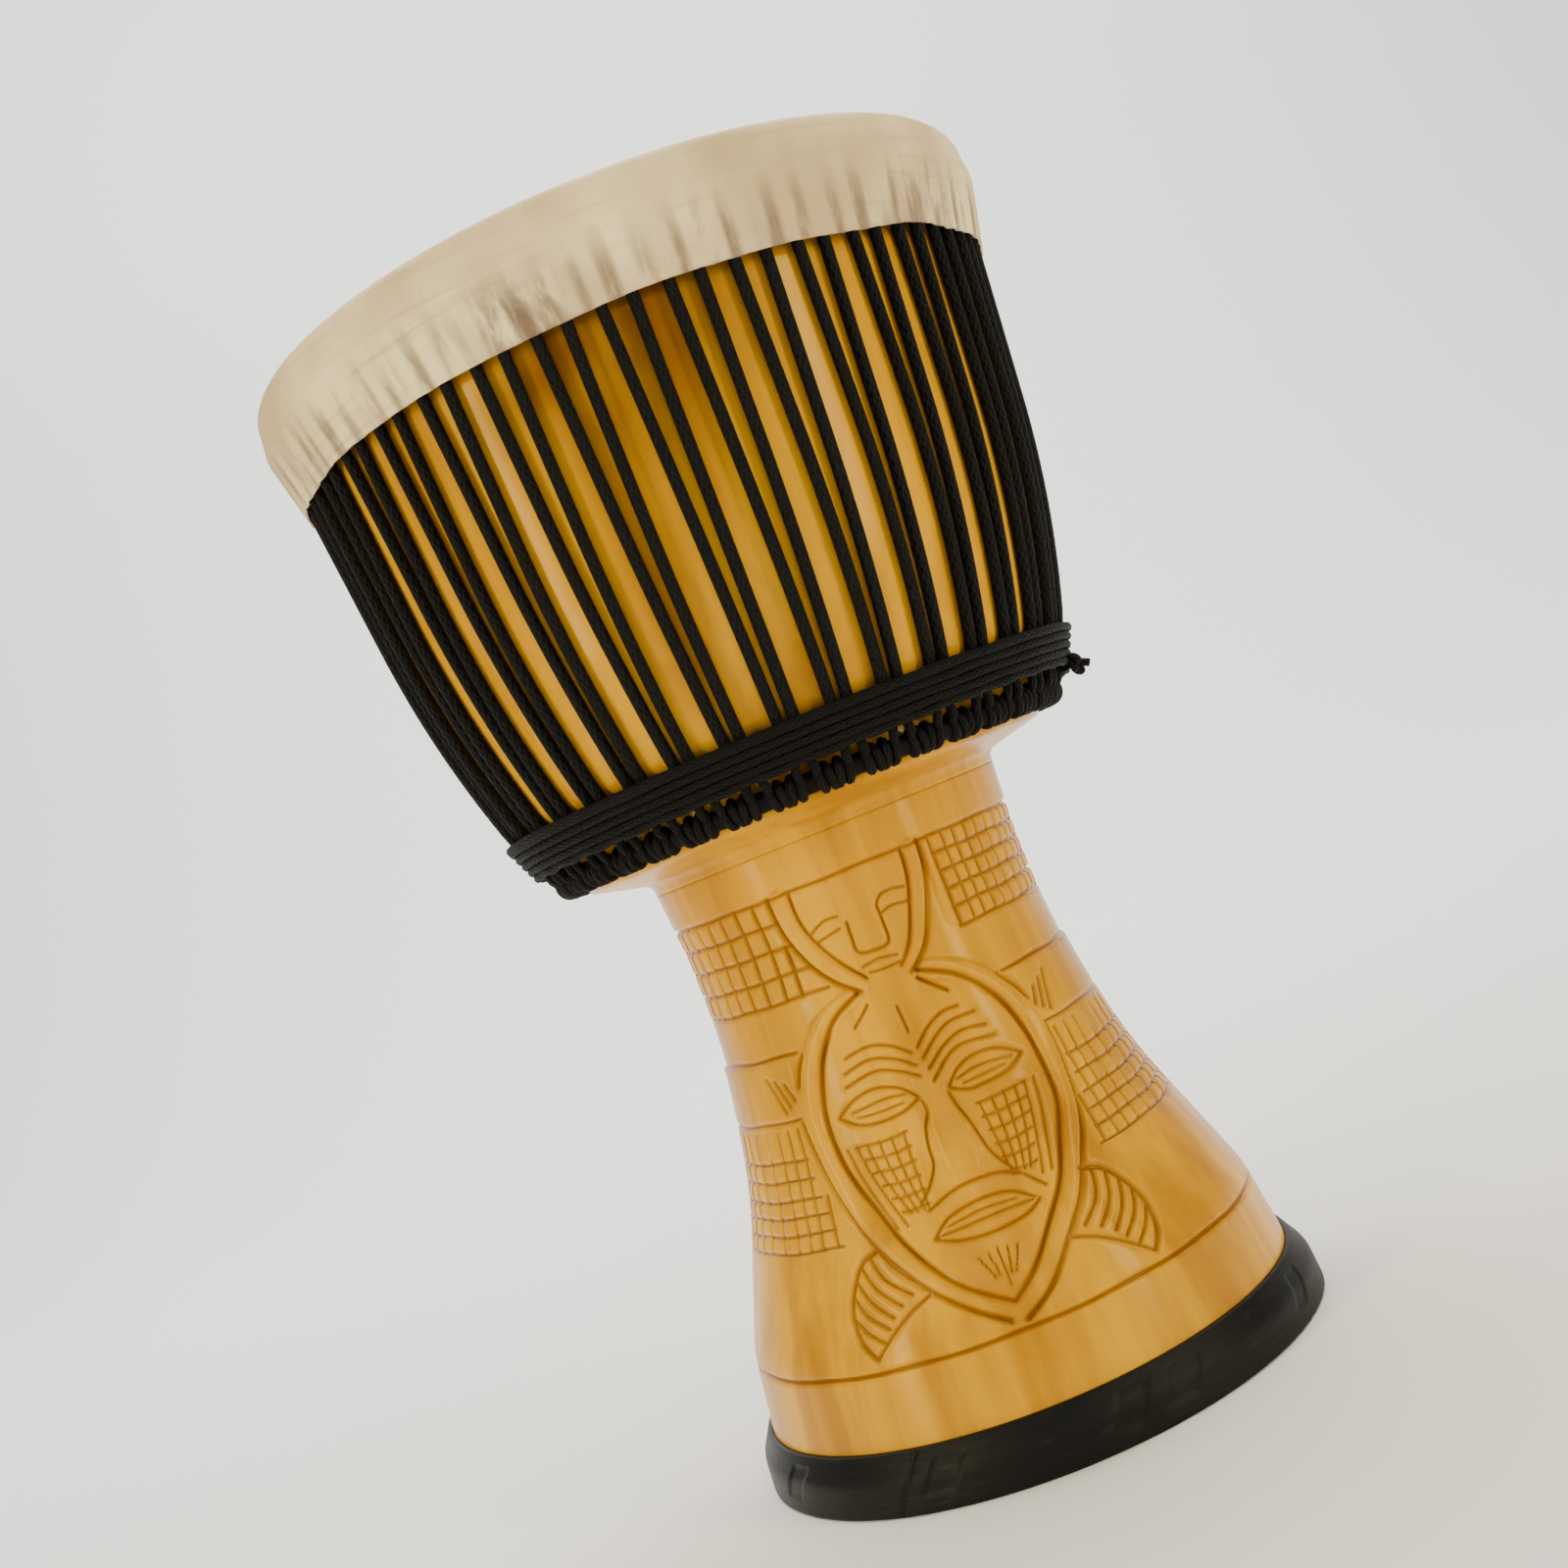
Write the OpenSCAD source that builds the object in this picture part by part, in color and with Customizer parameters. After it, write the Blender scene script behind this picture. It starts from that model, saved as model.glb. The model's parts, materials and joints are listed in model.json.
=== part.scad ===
// Rope-tuned djembe: a goblet drum carved from one block of wood, with a
// goatskin head held by two wire rings and pulled down by a zigzag rope.
// Millimetres, +Z up. The origin is the centre of the foot's underside, and the
// main carved mask faces -Y.

/* [Overall] */
// Height from the floor to the playing surface
drum_h = 515; // [490:1:560]
// Outside diameter of the bowl at its mouth, under the skin
mouth_d = 300; // [284:1:312]
// Largest outside diameter of the bowl, just under the collar
bowl_d = 307; // [300:1:330]

/* [Foot and stem] */
// Outside diameter of the wooden foot, at the floor
foot_d = 246; // [220:1:280]
// Height of the foot's plain border, up to the lower carved line
border_h = 56; // [40:1:70]
// Lean of the foot's border from the vertical
border_lean = 8; // [4:1:12]
// Lean of the flare above the border
flare_lean = 20.5; // [16:0.5:24]
// Diameter of the waist
waist_d = 156; // [140:1:180]
// Radius of the long hollow curve from the flare to the waist
waist_curve_r = 295; // [200:5:320]
// Height of the neck, where the stem meets the bowl
neck_z = 263; // [255:1:285]
// Diameter of the neck
neck_d = 161; // [156:1:180]
// Rise of the bowl's underside, from the horizontal
shoulder_rise = 13.5; // [10:0.5:18]

/* [Bowl] */
// Lean of the upper bowl from the vertical
bowl_lean = 5.8; // [4:0.2:8]
// Radius of the bowl's long curve
bowl_curve_r = 458; // [400:2:520]
// Lean at the lower end of that curve
heel_lean = 17.8; // [16:0.2:20]
// Radius of the bowl's heel, which the ropes bend over
heel_r = 12; // [8:1:16]
// Lean of the bowl under its heel
under_lean = 62; // [55:1:66]
// Diameter of the seat for the lower ring
seat_d = 215; // [205:1:220]
// Radius of the bearing edge that the skin runs over
edge_r = 6; // [4:0.5:8]
// Height of the straight mouth band that the rings surround
mouth_band_h = 32; // [28:1:38]

/* [Walls and bore] */
// Wall of the bowl
bowl_wall = 11; // [9:0.5:14]
// Wall at the mouth
mouth_wall = 9; // [7:0.5:11]
// Wall of the flaring foot
foot_wall = 17; // [12:0.5:20]
// Diameter of the bore through the stem
bore_d = 108; // [90:1:120]

/* [Foot rubber] */
// Thickness of the rubber band around the foot
rubber_t = 5.5; // [4:0.5:8]
// Height of the rubber band
rubber_h = 23.5; // [16:0.5:32]
// Thickness of the rubber under the wood
sole_t = 3; // [2:0.5:5]
// Width of the rubber lip under the wood
sole_w = 13; // [8:0.5:14]

/* [Skin and rings] */
// Thickness of the goatskin
skin_t = 0.8; // [0.6:0.1:1.2]
// Wire diameter of the flesh ring, rolled inside the skin
flesh_wire = 4; // [3:0.5:4.5]
// Wire diameter of the crown ring and the lower ring
ring_wire = 5; // [4:0.5:5]
// Drop from the playing surface to the centre of the crown ring
crown_drop = 10; // [9:0.5:12]
// Height of the skin collar's trimmed edge below the playing surface
collar_drop = 49.5; // [46:0.5:56]

/* [Ropes] */
// Number of rope pairs around the bowl
pairs = 37; // [32:1:38]
// Diameter of the tension rope
rope_d = 5; // [4:0.5:5]
// Diameter of the cord that makes the hitches and the winding
cord_d = 3.5; // [3:0.5:3.5]
// Angle between the two ropes of a pair, at mid height
pair_angle = 4.45; // [4.4:0.05:4.8]
// Lean of each rope in the bowl's surface, which brings a pair together below
rope_lean = 0.2; // [0:0.05:0.2]
// Radius of the rope's bend where it runs in under the heel
rope_bend_r = 40; // [30:1:46]
// Lean of the rope at its lower end
rope_low_lean = 45; // [40:1:50]
// Number of turns of the tail winding
winding_turns = 5; // [3:1:5]
// Lean of the stack of turns
winding_lean = 24; // [22:1:28]
// Angle of the tail's knot around the drum, from the front
knot_angle = 78; // [0:1:360]
// Diameter of the tail's knot
knot_d = 9; // [7:0.5:12]
// Length of rope's end past the knot
knot_tail = 9; // [4:1:14]

/* [Hidden] */

// Running clearance between pieces that lie on each other
fit = 0.1;
// Clearance of the ropes over the bowl
rope_gap = 0.3;
// Straight pieces in a small rounding, and in a long curve
small_steps = 6;
long_steps = 16;
// Facets of the turned pieces, of a rope's section and of its curves
turned_fn = 120;
rope_fn = 16;
bend_fn = 32;
sweep_fn = 360;

// ---- outlines, as [radius, height] points ----

function unit(v) = v / norm(v);
function flip_angle(a) = (a + 540) % 360 - 180;

// Points along an arc
function arc_points(centre, r, from, to, steps) =
    [for (i = [0:steps]) let (a = from + (to - from) * i / steps) centre + r * [cos(a), sin(a)]];

// The corner at b between a and c, rounded to radius r
function rounded_corner(a, b, c, r) =
    r <= 0 ? [b] :
    let (u = unit(a - b), w = unit(c - b),
         half = acos(u * w) / 2,
         centre = b + unit(u + w) * r / sin(half),
         start = b + u * r / tan(half) - centre,
         end = b + w * r / tan(half) - centre,
         from = atan2(start.y, start.x),
         turn = flip_angle(atan2(end.y, end.x) - from))
    arc_points(centre, r, from, from + turn, r > 50 ? long_steps : small_steps);

// A closed outline from [radius, height, rounding] corners
function rounded_outline(c) =
    [for (i = [0:len(c) - 1])
        let (a = c[(i + len(c) - 1) % len(c)], b = c[i], d = c[(i + 1) % len(c)])
        each rounded_corner([a.x, a.y], [b.x, b.y], [d.x, d.y], b.z)];

function corners(points) = [for (p = points) [p.x, p.y, 0]];

// ---- the wooden shell ----

shell_top = drum_h - skin_t - fit;
foot_r = foot_d / 2;
waist_r = waist_d / 2;
mouth_r = mouth_d / 2;
bowl_r = bowl_d / 2;
seat_r = seat_d / 2;
bore_r = bore_d / 2;
border_r = foot_r - border_h * tan(border_lean);
waist_z = border_h + (border_r - waist_r) / tan(flare_lean);
neck_flare_z = neck_z - 35;

// The mouth band starts here, and the bowl is widest below its shoulder
mouth_z = shell_top - mouth_band_h;
mouth_step_h = 18;
bowl_max_z = mouth_z - mouth_step_h;

// The long curve of the bowl meets the leaning upper wall here
curve_top_z = bowl_max_z - 64;
curve_top = [bowl_r - (bowl_max_z - curve_top_z) * tan(bowl_lean), curve_top_z];
bowl_centre = curve_top - bowl_curve_r * [cos(bowl_lean), -sin(bowl_lean)];
heel_centre = bowl_centre + (bowl_curve_r - heel_r) * [cos(heel_lean), -sin(heel_lean)];
heel_end = heel_centre + heel_r * [cos(under_lean), -sin(under_lean)];
seat_top = [seat_r, heel_end.y - (heel_end.x - seat_r) / tan(under_lean)];
seat_bottom = [seat_r, neck_z + (seat_r - neck_d / 2) * tan(shoulder_rise)];

// The bowl's inside follows its outside at the wall's thickness
inner_top = [mouth_r - mouth_wall, shell_top];
inner_curve = arc_points(bowl_centre, bowl_curve_r - bowl_wall, -heel_lean, -bowl_lean, long_steps);
floor_rise = 13.7;
floor_corner = inner_curve[0] - 2 * [sin(heel_lean), cos(heel_lean)];
bore_edge = [bore_r, floor_corner.y - (floor_corner.x - bore_r) * tan(floor_rise)];
flare_inner_z = waist_z + (waist_r - foot_wall / cos(flare_lean) - bore_r) / tan(flare_lean);
border_inner_r = border_r - foot_wall / cos(flare_lean) + 12 * tan(flare_lean);

shell_outline = rounded_outline(concat(
    [[border_inner_r, sole_t, 2], [foot_r - sole_t * tan(border_lean), sole_t, 0],
     [border_r, border_h, 50],
     [waist_r, waist_z, waist_curve_r],
     [waist_r, neck_flare_z, 150],
     [neck_d / 2, neck_z, 5],
     [seat_bottom.x, seat_bottom.y, 4],
     [seat_top.x, seat_top.y, 10]],
    corners(arc_points(heel_centre, heel_r, -under_lean, -heel_lean, small_steps)),
    corners([for (i = [1:long_steps]) bowl_centre + bowl_curve_r
        * [cos(heel_lean + (bowl_lean - heel_lean) * i / long_steps),
           -sin(heel_lean + (bowl_lean - heel_lean) * i / long_steps)]]),
    [[bowl_r, bowl_max_z, 12],
     [mouth_r, mouth_z, 12],
     [mouth_r, shell_top, edge_r],
     [inner_top.x, inner_top.y, 2],
     [inner_top.x, bowl_max_z, 40]],
    corners([for (i = [0:long_steps]) inner_curve[long_steps - i]]),
    [[floor_corner.x, floor_corner.y, 14],
     [bore_edge.x, bore_edge.y, 10],
     [bore_r, flare_inner_z, 120],
     [border_inner_r, border_h - 12, 40]]));

module shell() {
    color("goldenrod")
    rotate_extrude($fn = turned_fn) polygon(shell_outline);
}

// ---- the rubber band around the foot ----

module foot_band() {
    wood_r = foot_r + fit;
    top_wood_r = wood_r - rubber_h * tan(border_lean);
    color([0.12, 0.13, 0.13])
    rotate_extrude($fn = turned_fn)
        polygon(rounded_outline([
            [foot_r - sole_w, 0, 0], [wood_r + rubber_t, 0, 1.5],
            [wood_r + rubber_t - 1, rubber_h * 0.6, 8], [top_wood_r + 1.8, rubber_h, 1],
            [top_wood_r, rubber_h, 0], [wood_r - (sole_t - fit) * tan(border_lean), sole_t - fit, 0],
            [foot_r - sole_w, sole_t - fit, 0]]));
}

// ---- the skin and its rings ----

// How far a hitch of cord reaches from the middle of the wire inside it
hitch_r = ring_wire / 2 + fit + cord_d / 2;
hitch_reach = hitch_r + cord_d / 2;

skirt_in = mouth_r + fit;
skirt_out = skirt_in + skin_t;
crown_centre = [skirt_out + skin_t + fit + hitch_reach, drum_h - crown_drop];

// The tension rope's middle line, off the bowl
rope_off = rope_gap + rope_d / 2;
rope_curve_r = bowl_curve_r + rope_off;
rope_tangent = bowl_centre + rope_curve_r * [cos(bowl_lean), -sin(bowl_lean)];
rope_bend_centre = bowl_centre + (rope_curve_r - rope_bend_r) * [cos(heel_lean), -sin(heel_lean)];
rope_low = rope_bend_centre + rope_bend_r * [cos(rope_low_lean), -sin(rope_low_lean)];
function rope_r_at(z) = rope_tangent.x + (z - rope_tangent.y) * tan(bowl_lean);

// The upper bends of the rope hang this far under the crown ring
bend_drop = ring_wire / 2 + rope_d / 2 + 3;
top_bend_z = crown_centre.y - bend_drop;

flesh_wrap = flesh_wire / 2 + fit + skin_t;
flesh_centre = [skirt_out + fit + flesh_wire / 2,
                top_bend_z - hitch_reach - 2 * fit - flesh_wrap];

collar_z = drum_h - collar_drop;
collar_in = rope_r_at(collar_z) + rope_d / 2 + fit;
shoulder_in = max(crown_centre.x, rope_r_at(top_bend_z)) + hitch_reach + 2 * fit;
fold_in = crown_centre.x + hitch_reach + fit;
fold_top_in = crown_centre.y + hitch_reach + fit;
shoulder_z = top_bend_z - 3;

skin_outline = rounded_outline([
    [0, drum_h, 0],
    [skirt_out, drum_h, edge_r + fit + skin_t],
    [skirt_out, crown_centre.y, 0],
    [skirt_out, fold_top_in + skin_t, hitch_reach + fit + skin_t - 0.05],
    [fold_in + skin_t, fold_top_in + skin_t, hitch_reach + fit],
    [shoulder_in + skin_t, shoulder_z, 9],
    [collar_in + skin_t, collar_z, 0],
    [collar_in, collar_z, 0],
    [shoulder_in, shoulder_z, 8],
    [fold_in, fold_top_in, hitch_reach - 0.5],
    [skirt_out + skin_t, fold_top_in, hitch_reach - 0.05],
    [skirt_out + skin_t, flesh_centre.y + flesh_wrap, 0],
    [flesh_centre.x + flesh_wrap, flesh_centre.y + flesh_wrap, flesh_wrap - 0.1],
    [flesh_centre.x + flesh_wrap, flesh_centre.y - flesh_wrap, flesh_wrap - 0.1],
    [skirt_in, flesh_centre.y - flesh_wrap, 2],
    [skirt_in, drum_h - skin_t, edge_r + fit],
    [0, drum_h - skin_t, 0]]);

// A wire ring around the drum
module wire_ring(centre, wire) {
    translate([0, 0, centre.y])
        rotate_extrude($fn = turned_fn) translate([centre.x, 0]) circle(d = wire, $fn = bend_fn);
}

module head_skin() {
    color("wheat")
    difference() {
        rotate_extrude($fn = turned_fn) polygon(skin_outline);
        wire_ring(flesh_centre, flesh_wire + 2 * fit);
    }
}

module flesh_ring() {
    color("silver") wire_ring(flesh_centre, flesh_wire);
}

module crown_ring() {
    color("silver") wire_ring(crown_centre, ring_wire);
}

// ---- the tension rope ----

pair_step = 360 / pairs;

function turn_x(v, a) = [v.x, v.y * cos(a) - v.z * sin(a), v.y * sin(a) + v.z * cos(a)];
function turn_z(v, a) = [v.x * cos(a) - v.y * sin(a), v.x * sin(a) + v.y * cos(a), v.z];

// Each run of rope leans about this point of its middle line
lean_point = [rope_r_at(curve_top_z), 0, curve_top_z];

// Where a point and a direction of the middle line go, on one side of a pair
function run_dir(v, side) = turn_z(turn_x(v, -side * rope_lean), side * pair_angle / 2);
function run_point(p, side) =
    turn_z(lean_point + turn_x(p - lean_point, -side * rope_lean), side * pair_angle / 2);

// The upper bend reaches this far above the end of the straight run
top_half_gap = lean_point.x * sin((pair_step - pair_angle) / 2);
run_top_z = top_bend_z - top_half_gap;
run_top = [rope_r_at(run_top_z), 0, run_top_z];
run_bottom = [rope_low.x, 0, rope_low.y];

// Each piece of the rope runs this far into the next, and is this much thinner
// for each step down the run, so that the pieces join into one solid
lap = 0.1;
lap_step = 0.02;
function section(step) = rope_d - step * lap_step;
function lap_angle(r) = lap / r * 180 / PI;

// A half turn of rope that joins the run ending at p, with direction d, to its
// mirror image across the XZ plane
module rope_bend(p, d, step) {
    ahead = unit([d.x, 0, d.z]);
    lean = asin(-d.y);
    r = p.y / cos(lean);
    centre = [p.x, 0, p.z] - ahead * p.y * tan(lean);
    multmatrix([[0, ahead.x, ahead.z, centre.x], [1, 0, 0, 0],
                [0, ahead.z, -ahead.x, centre.z], [0, 0, 0, 1]])
        rotate([0, 0, lean - lap_angle(r)])
            rotate_extrude(angle = 180 - 2 * lean + 2 * lap_angle(r), $fn = bend_fn)
                translate([r, 0]) circle(d = section(step), $fn = rope_fn);
}

// An arc of rope in the drum's radial plane
module rope_arc(centre, r, from, to, step) {
    translate([centre.x, 0, centre.y]) rotate([90, 0, 0]) rotate([0, 0, from])
        rotate_extrude(angle = to - from + lap_angle(r), $fn = sweep_fn)
            translate([r, 0]) circle(d = section(step), $fn = rope_fn);
}

// One run of rope, from the lower bend to the upper one
module rope_run(side) {
    rotate([0, 0, side * pair_angle / 2])
        translate(lean_point) rotate([-side * rope_lean, 0, 0]) translate(-lean_point) {
            rope_arc(rope_bend_centre, rope_bend_r, -rope_low_lean, -heel_lean, 2);
            rope_arc(bowl_centre, rope_curve_r, -heel_lean, -bowl_lean, 1);
            translate([rope_tangent.x, 0, rope_tangent.y]) rotate([0, bowl_lean, 0])
                cylinder(d = section(0), h = (run_top_z - rope_tangent.y) / cos(bowl_lean), $fn = rope_fn);
        }
}

low_point = run_point(run_bottom, 1);
low_dir = run_dir([-sin(rope_low_lean), 0, -cos(rope_low_lean)], 1);
high_point = turn_z(run_point(run_top, -1), pair_step / 2);
high_dir = turn_z(run_dir([sin(bowl_lean), 0, cos(bowl_lean)], -1), pair_step / 2);

// Pair 0 is at the front of the drum
module at_pair(i) {
    rotate([0, 0, i * pair_step - 90]) children();
}

module tension_rope() {
    color([0.1, 0.1, 0.1])
    union() {
        for (i = [0:pairs - 1]) at_pair(i) {
            rope_run(-1);
            rope_run(1);
            rope_bend(low_point, low_dir, 3);
            rotate([0, 0, pair_step / 2]) rope_bend(high_point, high_dir, 1);
        }
    }
}

// ---- the hitches, which hold the rope's bends to the two rings ----

// The middle of a bend, halfway round it
function bend_middle(p, d) =
    let (ahead = unit([d.x, 0, d.z]), lean = asin(-d.y))
    [p.x, p.z] + [ahead.x, ahead.z] * p.y * (1 / cos(lean) - tan(lean));

low_bend = bend_middle(low_point, low_dir);
high_bend = bend_middle(high_point, high_dir);

// A loop of cord in the radial plane, around two round things at a and b
module hitch(a, b) {
    span = norm(b - a);
    aim = atan2(b.y - a.y, b.x - a.x);
    translate([a.x, 0, a.y]) rotate([90, 0, 0]) rotate([0, 0, aim]) {
        for (end = [0, 1]) translate([end * span, 0, 0]) rotate([0, 0, 90 + end * 180])
            rotate_extrude(angle = 180, $fn = bend_fn)
                translate([hitch_r, 0]) circle(d = cord_d, $fn = rope_fn);
        for (side = [-1, 1]) translate([0, side * hitch_r, 0]) rotate([0, 90, 0])
            cylinder(d = cord_d, h = span, $fn = rope_fn);
    }
}

module crown_hitches() {
    color([0.14, 0.14, 0.14])
    for (i = [0:pairs - 1]) at_pair(i + 0.5) hitch(crown_centre, high_bend);
}

// The lower ring bears on its seat through the hitches
bottom_centre = [seat_r + rope_gap + hitch_reach, seat_bottom.y + hitch_reach + 1];

module bottom_ring() {
    color("silver") wire_ring(bottom_centre, ring_wire);
}

module bottom_hitches() {
    color([0.14, 0.14, 0.14])
    for (i = [0:pairs - 1]) at_pair(i) hitch(bottom_centre, low_bend);
}

// ---- the tail of the cord, wound over the rope and knotted ----

winding_off = rope_bend_r + rope_d / 2 + fit + cord_d / 2;
winding_top = rope_bend_centre + winding_off * [cos(winding_lean), -sin(winding_lean)];
winding_pitch = cord_d + 0.25;
function winding_turn(i) =
    winding_top - i * winding_pitch * [sin(winding_lean), cos(winding_lean)];

module tail_winding() {
    color([0.1, 0.1, 0.1])
    for (i = [0:winding_turns - 1]) wire_ring(winding_turn(i), cord_d);
}

module tail_knot() {
    turn = winding_turn(winding_turns - 1);
    knot_r = knot_d / 2;
    color([0.1, 0.1, 0.1])
    rotate([0, 0, knot_angle - 90])
        translate([turn.x + cord_d / 2 + knot_r + fit, 0, turn.y]) {
            sphere(d = knot_d, $fn = bend_fn);
            rotate([0, 80, 0]) cylinder(d = cord_d, h = knot_r + knot_tail, $fn = rope_fn);
        }
}

shell();
foot_band();
head_skin();
flesh_ring();
crown_ring();
crown_hitches();
tension_rope();
bottom_ring();
bottom_hitches();
tail_winding();
tail_knot();
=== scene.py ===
"""Looks of a rope-tuned djembe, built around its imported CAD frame.

Geometry is worked out in millimetres on the drum's own axis and is scaled to
metres when a mesh is finished. Angles run from the front of the drum (-Y)
towards +X, in degrees.
"""

import json
import logging
import math
import random
from dataclasses import dataclass, field
from enum import Enum
from functools import cached_property

import bmesh
import bpy
import numpy as np
from mathutils import Matrix, Vector

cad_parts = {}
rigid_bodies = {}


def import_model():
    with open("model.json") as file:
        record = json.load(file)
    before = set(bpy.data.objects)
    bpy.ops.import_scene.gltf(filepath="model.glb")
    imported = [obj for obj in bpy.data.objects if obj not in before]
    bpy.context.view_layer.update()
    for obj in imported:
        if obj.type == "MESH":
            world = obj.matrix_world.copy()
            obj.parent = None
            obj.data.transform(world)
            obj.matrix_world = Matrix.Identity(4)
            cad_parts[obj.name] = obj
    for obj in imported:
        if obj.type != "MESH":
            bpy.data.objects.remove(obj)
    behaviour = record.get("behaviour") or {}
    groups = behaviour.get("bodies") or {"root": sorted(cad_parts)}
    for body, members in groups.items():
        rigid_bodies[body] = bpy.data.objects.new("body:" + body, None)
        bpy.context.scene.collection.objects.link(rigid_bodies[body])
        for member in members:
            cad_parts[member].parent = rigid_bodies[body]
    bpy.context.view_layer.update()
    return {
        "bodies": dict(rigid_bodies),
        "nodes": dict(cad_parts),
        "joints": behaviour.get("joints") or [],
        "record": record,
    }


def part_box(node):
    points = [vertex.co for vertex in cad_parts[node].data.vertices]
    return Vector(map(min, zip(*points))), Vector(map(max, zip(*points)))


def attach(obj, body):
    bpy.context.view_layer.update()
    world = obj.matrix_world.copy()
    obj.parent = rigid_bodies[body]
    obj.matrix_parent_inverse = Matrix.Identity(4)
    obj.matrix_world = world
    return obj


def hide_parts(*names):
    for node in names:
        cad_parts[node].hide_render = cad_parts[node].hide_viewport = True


LOG = logging.getLogger("djembe")
MM = 0.001
BODY = "root"

# A spin is made in equal sectors, at most this many, and points this near in millimetres are one
MOST_SECTORS = 32
WELD = 2e-4

Point = tuple[float, float]
Colour = tuple[float, float, float, float]
Tint = tuple[float, float, float]


# ---------------------------------------------------------------- geometry helpers


def smoothstep(low: float, high: float, x: np.ndarray) -> np.ndarray:
    """Returns 0 below low, 1 above high, and an S-curve between."""
    t = np.clip((np.asarray(x, float) - low) / (high - low), 0.0, 1.0)
    return t * t * (3.0 - 2.0 * t)


def on_drum(angle: float, radius: float, height: float) -> Vector:
    """Returns the point at an angle around the drum, a radius and a height."""
    a = math.radians(angle)
    return Vector((radius * math.sin(a), -radius * math.cos(a), height))


def arc(centre: Point, radius: float, start: float, end: float, steps: int) -> list[Point]:
    """Returns points along an arc.

    Args:
        centre: The arc's centre, as radius and height.
        radius: The arc's radius.
        start: First angle in degrees, from the outward horizontal.
        end: Last angle in degrees.
        steps: Number of segments.

    Returns:
        steps + 1 points.
    """
    angles = [math.radians(start + (end - start) * i / steps) for i in range(steps + 1)]
    return [(centre[0] + radius * math.cos(a), centre[1] + radius * math.sin(a)) for a in angles]


def rounded(corners: list[tuple[float, float, float]], steps: int = 6,
            closed: bool = False) -> list[Point]:
    """Rounds the corners of an outline.

    Args:
        corners: Radius, height and rounding of each corner.
        steps: Segments in each rounding.
        closed: Whether the last corner joins the first.

    Returns:
        The outline's points.
    """
    count = len(corners)
    points: list[Point] = []
    for i, (x, y, r) in enumerate(corners):
        if r <= 0 or (not closed and i in (0, count - 1)):
            points.append((x, y))
            continue
        here = Vector((x, y))
        back = (Vector(corners[i - 1][:2]) - here).normalized()
        ahead = (Vector(corners[(i + 1) % count][:2]) - here).normalized()
        half = back.angle(ahead) / 2
        centre = here + (back + ahead).normalized() * r / math.sin(half)
        first = here + back * r / math.tan(half) - centre
        last = here + ahead * r / math.tan(half) - centre
        start = math.degrees(math.atan2(first.y, first.x))
        turn = (math.degrees(math.atan2(last.y, last.x)) - start + 540) % 360 - 180
        points += arc((centre.x, centre.y), r, start, start + turn, steps * (4 if r > 50 else 1))
    return points


def resampled(points: list[Point], spacing: float) -> list[Point]:
    """Adds points to an outline, so that no segment is longer than spacing.

    Args:
        points: The outline.
        spacing: The longest segment.

    Returns:
        The outline's own points and the added ones.
    """
    out = [points[0]]
    for a, b in zip(points, points[1:]):
        parts = max(1, math.ceil(math.dist(a, b) / spacing - 1e-6))
        out += [(a[0] + (b[0] - a[0]) * k / parts, a[1] + (b[1] - a[1]) * k / parts)
                for k in range(1, parts + 1)]
    return out


def smooth_curve(points: list[tuple[float, ...]], parts: int = 8) -> np.ndarray:
    """Draws a Catmull-Rom curve through points of two or three numbers.

    Args:
        points: The points.
        parts: Number of segments in each span.

    Returns:
        One row for each point of the curve.
    """
    p = np.array([points[0], *points, points[-1]], float)
    out = []
    for a, b, c, d in zip(p, p[1:], p[2:], p[3:]):
        for k in range(parts):
            t = k / parts
            out.append(0.5 * (2 * b + (c - a) * t + (2 * a - 5 * b + 4 * c - d) * t * t
                              + (3 * b - a - 3 * c + d) * t ** 3))
    return np.array([*out, p[-1]])


def spun(bm: bmesh.types.BMesh, outline: list[Point], steps: int, start: float = 0.0,
         sweep: float = 360.0, closed: bool = False) -> None:
    """Spins an outline around the drum's axis into an empty bmesh, one sector at a time.

    Args:
        bm: The mesh that takes the surface.
        outline: Radius and height of each point.
        steps: Number of segments around.
        start: Angle of the first section.
        sweep: Angle that the outline turns through.
        closed: Whether the outline's last point joins its first.
    """
    sectors = max(n for n in range(1, MOST_SECTORS + 1) if steps % n == 0)
    angle = math.radians(sweep) / sectors
    verts = [bm.verts.new(on_drum(start, max(r, 0.0), z)) for r, z in outline]
    edges = [bm.edges.new(pair) for pair in zip(verts, verts[1:])]
    if closed:
        edges.append(bm.edges.new((verts[-1], verts[0])))
    bmesh.ops.spin(bm, geom=verts + edges, cent=(0, 0, 0), axis=(0, 0, 1), angle=angle,
                   steps=steps // sectors)
    if sectors > 1:
        sector = [*bm.verts, *bm.edges, *bm.faces]
        bmesh.ops.spin(bm, geom=sector, cent=(0, 0, 0), axis=(0, 0, 1), angle=angle * (sectors - 1),
                       steps=sectors - 1, use_duplicate=True)
    bmesh.ops.remove_doubles(bm, verts=bm.verts, dist=WELD)
    if closed and sweep < 360.0:
        bmesh.ops.holes_fill(bm, edges=[e for e in bm.edges if e.is_boundary])
    bmesh.ops.recalc_face_normals(bm, faces=bm.faces)


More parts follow.
